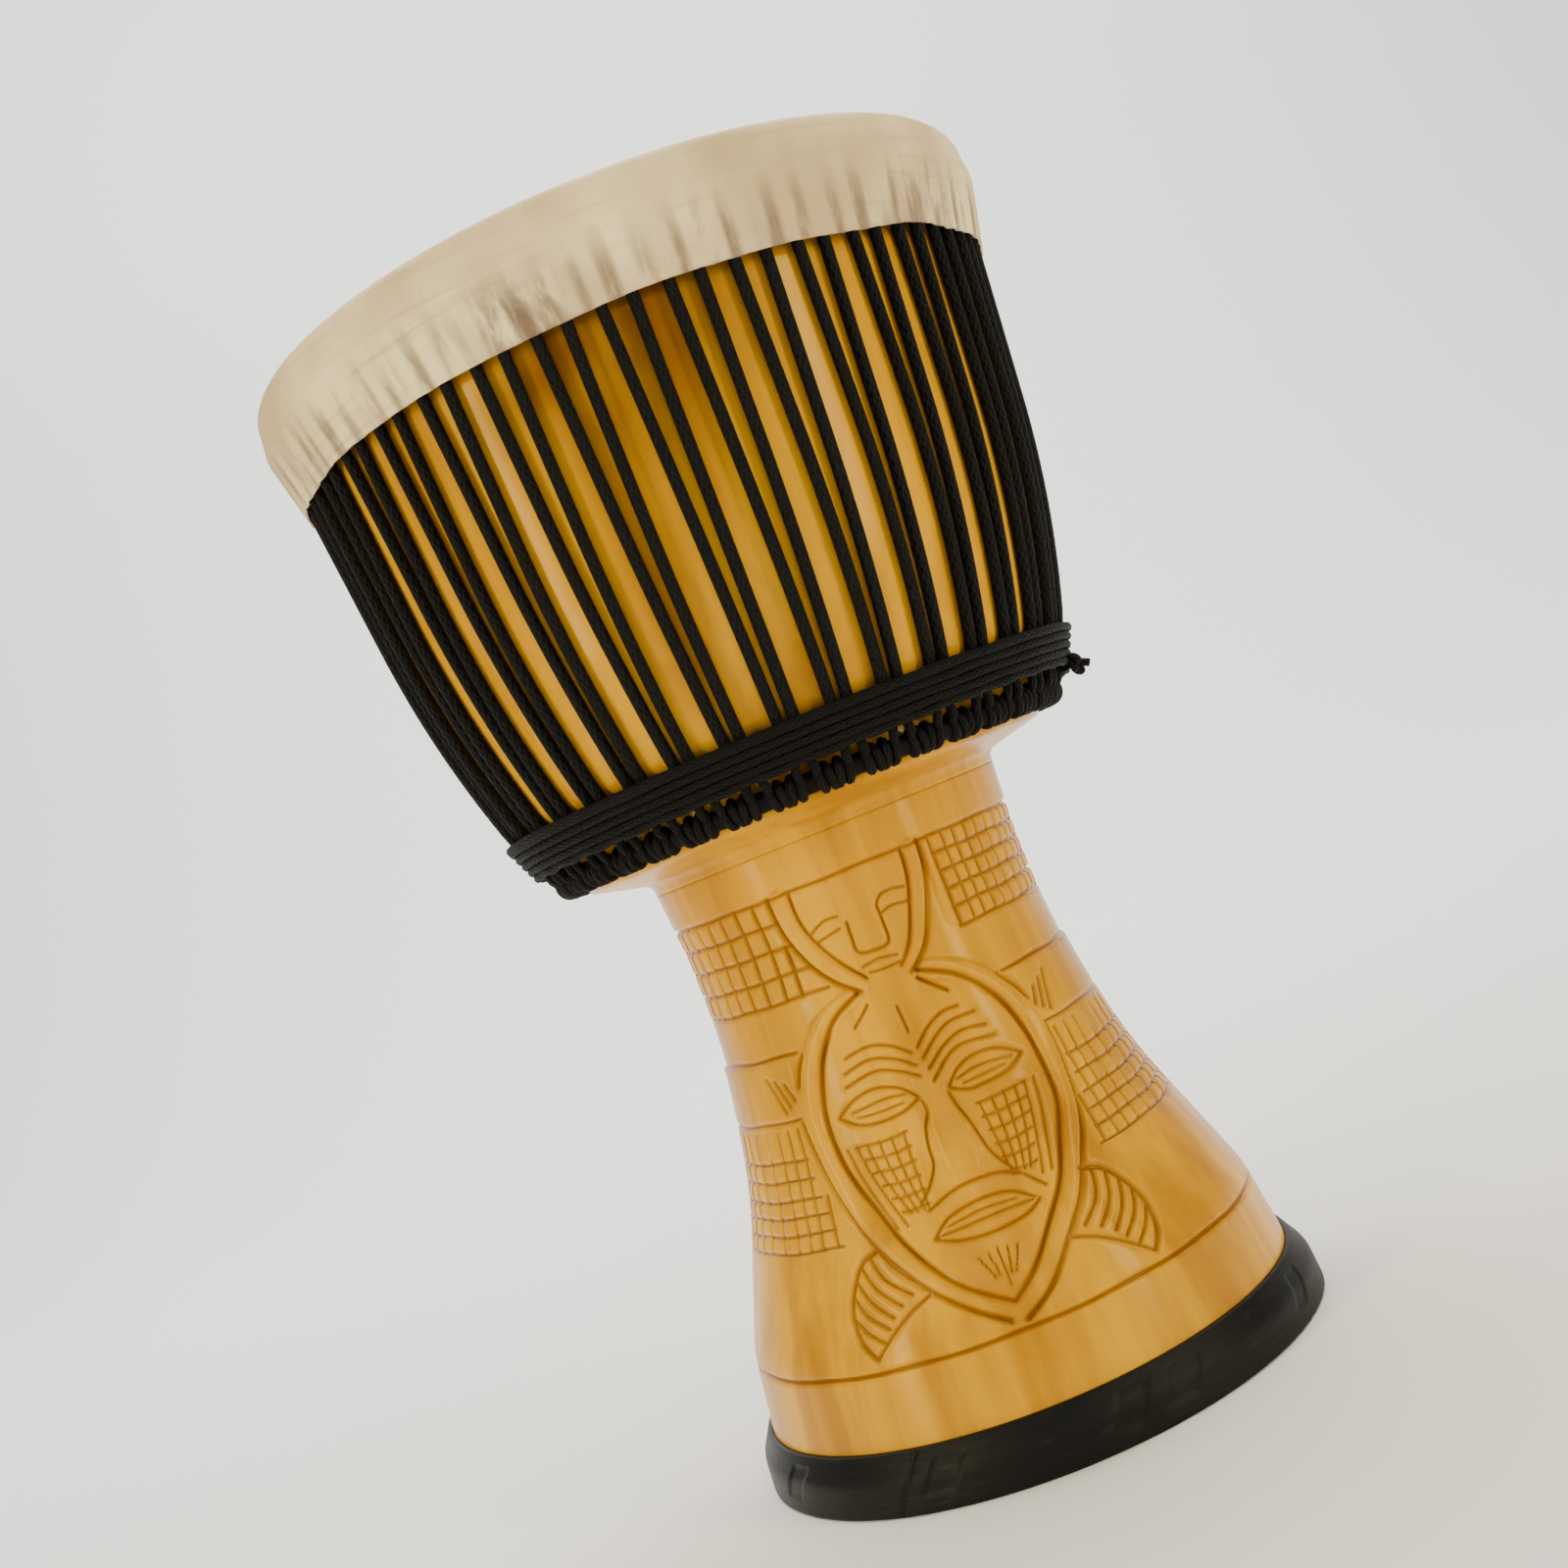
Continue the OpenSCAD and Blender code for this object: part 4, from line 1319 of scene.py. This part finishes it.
@dataclass
class Head:
    """The goatskin: membrane, fold over the crown ring and the collar's pleats."""

    form: DrumForm
    finish: bpy.types.Material
    collar_z: float = 465.5
    crown_drop: float = 10.0
    hitch_reach: float = 6.2
    flat_spacing: float = 12.0
    steps: int = 720

    def outline(self) -> list[Point]:
        """Draws the skin's section, as the CAD node has it.

        Returns:
            The outline, from the axis on the playing surface to the axis under it.
        """
        form = self.form
        top, t = form.height, form.skin_t
        reach = self.hitch_reach
        skirt_in = form.mouth_r + form.fit
        skirt_out = skirt_in + t
        crown_z = top - self.crown_drop
        fold_in = skirt_out + t + 2 * reach + form.fit
        fold_top = crown_z + reach
        collar_in = form.rope_radius(self.collar_z) + form.rope_d / 2 + form.fit
        shoulder_in = form.rope_radius(crown_z - 8) + reach + 0.2
        shoulder_z = crown_z - 11
        outer = rounded([(0, top, 0), (skirt_out, top, 6.9), (skirt_out, crown_z, 0),
                         (skirt_out, fold_top + t, 6.9), (fold_in + t, fold_top + t, 6.2),
                         (shoulder_in + t, shoulder_z, 9), (collar_in + t, self.collar_z, 0)], 8)
        roll_top, roll_low, roll_out = 490.0, 484.2, skirt_out + 5.0
        inner = rounded([(collar_in, self.collar_z, 0), (shoulder_in, shoulder_z, 8),
                         (fold_in, fold_top, 5.6), (skirt_out + t, fold_top, 6.1),
                         (skirt_out + t, roll_top, 0), (roll_out, roll_top, 2.8),
                         (roll_out, roll_low, 2.8), (skirt_in, roll_low, 2),
                         (skirt_in, top - t, 6.1), (0, top - t, 0)], 5)
        membrane_top = resampled(outer[:2], self.flat_spacing)[:-1]
        membrane_under = resampled(inner[-2:], self.flat_spacing)[1:]
        return membrane_top + resampled(outer[1:], 2.2) + resampled(inner[:-1], 5.0) + membrane_under

    def build(self) -> None:
        """Builds the skin, with its collar pleated, stained, and darkened in the pleat hollows with painted
        shade.
        """
        form = self.form
        bm = bmesh.new()
        spun(bm, self.outline(), self.steps)
        rng = random.Random(11)
        waves = [(rng.randint(45, 125), rng.uniform(0, math.tau), rng.uniform(0.4, 1.0))
                 for _ in range(14)]
        slow = [(rng.randint(3, 17), rng.uniform(0, math.tau)) for _ in range(6)]
        pleat = bm.verts.layers.float.new("pleat")
        soil = bm.verts.layers.float.new("soil")
        for v in bm.verts:
            radius = math.hypot(v.co.x, v.co.y)
            if radius < 1:
                continue
            turn = math.atan2(v.co.x, -v.co.y)
            angle = math.degrees(turn)
            slack = sum(math.sin(n * turn + p) for n, p in slow) / 6
            on_collar = radius > form.rope_radius(v.co.z) + 2.2 and v.co.z < form.height - 3
            outside = 1.0 if on_collar else 0.0
            low = 1.0 - float(smoothstep(self.collar_z + 8, form.height - 18, v.co.z)) if on_collar else 0.0
            crease = sum(w * math.sin(n * turn + p) for n, p, w in waves) / 4.5
            push = outside * (low * (0.60 * crease + 0.25 * slack) + 0.2 * slack)
            v.co.x *= 1 + push / radius
            v.co.y *= 1 + push / radius
            edge = 1.0 - float(smoothstep(self.collar_z, self.collar_z + 6, v.co.z))
            v.co.z += outside * 0.9 * slack * edge
            # Painted shade weight: high in the pleats' pushed-in hollows.
            v[pleat] = low * min(1.0, max(0.0, 0.4 - 1.6 * crease))
            main_stain = math.exp(-((angle + 12) / 6) ** 2) * low
            side_stain = 0.7 * math.exp(-((angle - 54) / 8) ** 2) * low
            v[soil] = min(1.0, (main_stain + side_stain) * outside)
        settle(finished(bm, "head_goatskin", self.finish), "head_skin")


@dataclass
class Ropes:
    """All the black rope: the zigzag tension rope, the hitches, the winding and the knot."""

    form: DrumForm
    finish: bpy.types.Material
    crown_r: float = 158.0
    crown_z: float = 505.0
    lower_r: float = 113.9
    lower_z: float = 276.8
    top_bend_z: float = 497.0
    low_bend_z: float = 288.5
    winding_lean: float = 24.0
    knot_angle: float = 78.0

    @property
    def step(self) -> float:
        """Angle from one pair of ropes to the next."""
        return 360.0 / self.form.pairs

    def half_gap(self, z: float) -> float:
        """Returns half the angle between the two ropes of a pair at a height."""
        rise = min(1.0, max(0.0, (z - 290.0) / 195.0))
        return 1.45 + 0.95 * rise ** 1.6

    def pair_path(self, centre: float, rng: random.Random) -> list[Vector]:
        """Returns the rope's route from one upper bend, around a lower bend, to the next upper bend.

        Args:
            centre: The pair's angle around the drum.
            rng: Gives each run its own small unevenness.
        """
        form = self.form
        path: list[Vector] = []
        heights = [*np.linspace(489.5, 300.0, 25), *np.linspace(297.0, 292.0, 3)]
        for side in (-1, 1):
            drift, sway = rng.uniform(-0.16, 0.16), rng.uniform(-0.25, 0.25)
            run = []
            for z in heights:
                rise = (z - 290.0) / 200.0
                angle = side * self.half_gap(z) + drift * rise + sway * math.sin(math.pi * rise)
                run.append(on_drum(centre + angle, form.rope_radius(z), z))
            end = self.half_gap(489.5)
            out = []
            for k in range(1, 6):
                share = k / 5
                z = 489.5 + (self.top_bend_z - 489.5) * math.sin(share * math.pi / 2)
                angle = end + (self.step / 2 - end) * (1 - math.cos(share * math.pi / 2))
                out.append(on_drum(centre + side * angle, form.rope_radius(z), z))
            run = out[::-1] + run
            path += run if side < 0 else [*self.low_bend(centre), *run[::-1]]
        return path

    def low_bend(self, centre: float) -> list[Vector]:
        """Returns the middle of the half turn that joins a pair at its lower end."""
        half = self.half_gap(292.0)
        points = []
        for k in range(1, 6):
            a = math.pi * k / 6
            z = 292.0 - 3.6 * math.sin(a)
            points.append(on_drum(centre - half * math.cos(a), self.form.rope_radius(z), z))
        return points

    def tension_rope(self) -> None:
        """Builds the tension rope in one piece."""
        rng = random.Random(3)
        bm = bmesh.new()
        for i in range(self.form.pairs):
            swept(bm, self.pair_path(i * self.step + 0.8, rng), self.form.rope_d / 2, 10)
        piece = finished(bm, "tension_rope_zigzag", self.finish)
        settle(piece, "tension_rope")

    def around(self, centre: Point, reach: float, phase: float) -> Point:
        """Returns the point beside a ring at an angle around its wire."""
        a = math.radians(phase)
        return centre[0] + reach * math.cos(a), centre[1] + reach * math.sin(a)

    def hitch_path(self, centre: float, ring: Point, bend: Point, cord_r: float) -> list[Vector]:
        """Returns one hitch: a turn of cord on the wire, a loop up to the bend and a turn back.

        Args:
            centre: The hitch's angle around the drum.
            ring: Radius and height of the wire.
            bend: Radius and height of the rope's bend that the loop holds.
            cord_r: The cord's radius.
        """
        reach = self.form.ring_r + cord_r + 0.1
        spot = 180 / math.pi / ring[0]
        edge, leg = self.step / 2 / spot, 1.8 * cord_r
        wrap: list[tuple[float, Point]] = []
        for k in range(19):
            share = k / 18
            place = self.around(ring, reach, 20 - 540 * (1 - share))
            wrap.append((-(edge + (leg - edge) * share) * spot, place))
        aim = math.atan2(bend[1] - ring[1], bend[0] - ring[0])
        side = (math.cos(aim - math.pi / 2), math.sin(aim - math.pi / 2))
        for along, out, across in ((0.5, 1.0, 3.7), (0.8, 0.9, 3.0), (1.1, 0.5, 1.2), (1.2, 0.0, 0.0)):
            r = ring[0] + (bend[0] - ring[0]) * along + side[0] * reach * out
            z = ring[1] + (bend[1] - ring[1]) * along + side[1] * reach * out
            wrap.append((-across * spot, (r, z)))
        other = [(-a, p) for a, p in wrap[-2::-1]]
        flat = [(a, *p) for a, p in [*wrap, *other]]
        curve = smooth_curve(flat, 2)
        return [on_drum(centre + a, r, z) for a, r, z in curve]

    def lower_hitches(self) -> None:
        """Builds the hitches around the lower ring."""
        bm = bmesh.new()
        bend = (self.form.rope_radius(self.low_bend_z) - 1.0, self.low_bend_z)
        ring = (self.lower_r, self.lower_z)
        for i in range(self.form.pairs):
            centre = i * self.step + 0.8
            swept(bm, self.hitch_path(centre, ring, bend, 1.9), 1.95, 8)
        cloth = bmesh.new()
        spun(cloth, arc(ring, self.form.ring_r + 1.7, 0, 330, 11), 222, closed=True)
        add_to(bm, cloth)
        piece = finished(bm, "lower_hitches_cord", self.finish)
        settle(piece, "bottom_hitches")

    def crown_hitches(self) -> None:
        """Builds the hitches around the crown ring, which lie under the collar."""
        bm = bmesh.new()
        cord_r = self.form.cord_d / 2
        reach = self.form.ring_r + cord_r + 0.1
        bend = (self.form.rope_radius(self.top_bend_z), self.top_bend_z)
        for i in range(self.form.pairs):
            centre = (i + 0.5) * self.step + 0.8
            aim = math.degrees(math.atan2(bend[1] - self.crown_z, bend[0] - self.crown_r))
            loop = arc((self.crown_r, self.crown_z), reach, aim + 90, aim + 270, 10)
            loop += arc(bend, reach, aim - 90, aim + 90, 10)
            swept(bm, [on_drum(centre, r, z) for r, z in [*loop, loop[0], loop[1]]], cord_r, 8)
        piece = finished(bm, "crown_hitches_cord", self.finish)
        settle(piece, "crown_hitches")

    def winding_turn(self, i: int) -> Point:
        """Returns the radius and height of a turn of the winding."""
        centre = self.form.off(self.form.bowl_centre, self.form.bowl_curve_r + 2.8 - 40, self.form.heel_lean)
        top = self.form.off(centre, 40 + 2.6 + self.form.cord_d / 2, self.winding_lean)
        a = math.radians(self.winding_lean)
        pitch = self.form.cord_d + 0.25
        return top[0] - i * pitch * math.sin(a), top[1] - i * pitch * math.cos(a)

    def winding(self) -> None:
        """Builds the winding as one spiral of cord, pressed down between the ropes."""
        turns = 6
        rng = random.Random(9)
        ripple = [(rng.randint(5, 30), rng.uniform(0, math.tau)) for _ in range(5)]
        path = []
        count = 220
        for k in range(turns * count + 1):
            share = k / count
            angle = self.knot_angle + 360 * share
            lower, upper = self.winding_turn(turns - 1), self.winding_turn(0)
            level = share * share / 0.15 / (turns - 1)
            if share > 0.15:
                level = min(1.0, share / (turns - 1))
            r = lower[0] + (upper[0] - lower[0]) * level
            z = lower[1] + (upper[1] - lower[1]) * level
            turn = math.radians(angle)
            give = sum(math.sin(n * turn + p + 1.3 * int(share)) for n, p in ripple) / 5
            arch = 0.5 + 0.5 * math.cos(self.form.pairs * (turn - math.radians(0.8)))
            lift = 1.3 * arch * max(0.0, 1.0 - share / 1.8)
            path.append(on_drum(angle, r - 0.3 + 0.18 * give, z + 0.22 * give + lift))
        bm = bmesh.new()
        swept(bm, path, self.form.cord_d / 2 + 0.15, 8)
        piece = finished(bm, "tail_winding_cord", self.finish)
        settle(piece, "tail_winding")

    def knot(self) -> None:
        """Builds the knot of the tail, an overhand knot with its end standing out."""
        r, z = self.winding_turn(4)
        centre = on_drum(self.knot_angle, r + self.form.cord_d / 2 + 1.7, z - 2.8)
        out = on_drum(self.knot_angle, 1, 0)
        along = on_drum(self.knot_angle + 90, 1, 0)
        up = Vector((0, 0, 1))
        path = []
        for k in range(61):
            t = math.tau * 0.97 * k / 60
            x = math.sin(t) + 2 * math.sin(2 * t)
            y = math.cos(t) - 2 * math.cos(2 * t)
            w = -math.sin(3 * t)
            path.append(centre + 1.3 * x * up + 1.3 * y * along + 1.2 * w * out)
        bm = bmesh.new()
        swept(bm, path, 1.75, 8)
        tail = [centre + out * (0.5 + 1.2 * k) - up * (0.10 * k * k) + along * (0.05 * k * k)
                for k in range(5)]
        swept(bm, tail, 1.8, 8)
        lead = [centre - out * (1.0 + 0.45 * k) - along * 2.2 * k + up * 0.1 * k for k in range(4)]
        swept(bm, lead, 1.7, 8)
        piece = finished(bm, "tail_knot_cord", self.finish)
        settle(piece, "tail_knot")

    def build(self) -> None:
        """Builds every rope piece."""
        self.tension_rope()
        self.lower_hitches()
        self.crown_hitches()
        self.winding()
        self.knot()


# ---------------------------------------------------------------- the studio


@dataclass
class Studio:
    """Floor, backdrop, lights and the camera."""

    distance: float = 0.8459
    eye_z: float = 0.2610
    yaw: float = -0.63
    pitch: float = 1.5
    roll: float = -22.04
    lens: float = 43.62
    strip_warmth: tuple[float, float, float] = (1.0, 0.88, 0.50)
    soft_warmth: tuple[float, float, float] = (1.0, 0.95, 0.84)

    def floor(self) -> None:
        """Builds the pale floor, which curves up into a backdrop behind the drum."""
        bm = bmesh.new()
        profile = rounded([(-3.5, 0, 0), (4.0, 0, 2.0), (4.0, 5.0, 0)], 16)
        verts = [bm.verts.new((-6.0, y, z)) for y, z in profile]
        edges = [bm.edges.new(pair) for pair in zip(verts, verts[1:])]
        made = bmesh.ops.extrude_edge_only(bm, edges=edges)
        fresh = [g for g in made["geom"] if isinstance(g, bmesh.types.BMVert)]
        bmesh.ops.translate(bm, vec=(12.0, 0, 0), verts=fresh)
        mesh = bpy.data.meshes.new("floor")
        bm.to_mesh(mesh)
        bm.free()
        mesh.shade_smooth()
        material = bpy.data.materials.new("pale floor")
        material.use_nodes = True
        shader = material.node_tree.nodes["Principled BSDF"]
        shader.inputs["Base Color"].default_value = (0.88, 0.88, 0.88, 1)
        shader.inputs["Roughness"].default_value = 0.85
        mesh.materials.append(material)
        floor = bpy.data.objects.new("floor", mesh)
        bpy.context.scene.collection.objects.link(floor)

    def softbox(self, name: str, angle: float, distance: float, height: float, size: Point, power: float,
                warmth: tuple[float, float, float]) -> None:
        """Adds an area light that looks at the drum's middle.

        Args:
            name: The light's name.
            angle: Where it stands, from the drum's front.
            distance: How far it is from the axis, in metres.
            height: Its height.
            size: Its width and height.
            power: Its power in watts.
            warmth: Its colour.
        """
        data = bpy.data.lights.new(name, "AREA")
        data.shape = "RECTANGLE"
        data.size, data.size_y = size
        data.energy = power
        data.color = warmth
        lamp = bpy.data.objects.new(name, data)
        lamp.location = on_drum(angle, distance, height)
        aim = Vector((0, 0, 0.27)) - lamp.location
        lamp.rotation_euler = aim.to_track_quat("-Z", "Y").to_euler()
        bpy.context.scene.collection.objects.link(lamp)

    def camera(self) -> None:
        """Adds the camera, rolled so that the drum leans to the upper left."""
        yaw, pitch, roll = (math.radians(a) for a in (self.yaw, self.pitch, self.roll))
        ahead = Vector((math.sin(yaw) * math.cos(pitch), math.cos(yaw) * math.cos(pitch), math.sin(pitch)))
        level = Vector((math.cos(yaw), -math.sin(yaw), 0))
        above = level.cross(ahead)
        right = math.cos(roll) * level + math.sin(roll) * above
        up = -math.sin(roll) * level + math.cos(roll) * above
        data = bpy.data.cameras.new("camera")
        data.lens = self.lens
        data.sensor_width = 36.0
        eye = bpy.data.objects.new("camera", data)
        frame = Matrix((right, up, -ahead)).transposed().to_4x4()
        eye.matrix_world = Matrix.Translation((0, -self.distance, self.eye_z)) @ frame
        bpy.context.scene.collection.objects.link(eye)
        bpy.context.scene.camera = eye

    def build(self) -> None:
        """Builds the whole studio."""
        self.camera()
        self.floor()
        self.softbox("left softbox", -52, 1.5, 0.62, (0.21, 1.5), 18, self.strip_warmth)
        self.softbox("right softbox", 50, 1.5, 0.62, (0.21, 1.5), 17, self.strip_warmth)
        self.softbox("front softbox", 4, 2.6, 1.5, (2.2, 1.2), 15, self.soft_warmth)
        self.softbox("top softbox", 180, 0.5, 2.6, (2.4, 2.0), 60, self.soft_warmth)
        self.backdrop_light()
        world = bpy.data.worlds.new("studio")
        world.use_nodes = True
        sky = world.node_tree.nodes["Background"]
        sky.inputs["Color"].default_value = (1, 1, 1, 1)
        sky.inputs["Strength"].default_value = 0.25
        bpy.context.scene.world = world

    def backdrop_light(self) -> None:
        """Adds a wide light that brightens the backdrop."""
        data = bpy.data.lights.new("backdrop light", "AREA")
        data.shape = "RECTANGLE"
        data.size, data.size_y = 5.0, 1.5
        data.energy = 230
        lamp = bpy.data.objects.new("backdrop light", data)
        lamp.location = (0, 1.4, 3.2)
        lamp.rotation_euler = Vector((0, 2.4, -2.6)).to_track_quat("-Z", "Y").to_euler()
        bpy.context.scene.collection.objects.link(lamp)


def main() -> None:
    """Loads the frame and builds every part around it."""
    logging.basicConfig(level=logging.INFO, format="%(name)s: %(message)s")
    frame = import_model()
    Studio().build()
    finishes = FinishSet()
    form = DrumForm(height=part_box("head_skin")[1].z / MM)
    Shell(form, finishes.wood).build()
    FootBand(form, finishes.rubber).build()
    Head(form, finishes.skin).build()
    Ropes(form, finishes.rope).build()
    for node in ("flesh_ring", "crown_ring", "bottom_ring"):
        ring = frame["nodes"][node]
        ring.data.materials.clear()
        ring.data.materials.append(finishes.wire)


if __name__ == "__main__":
    main()
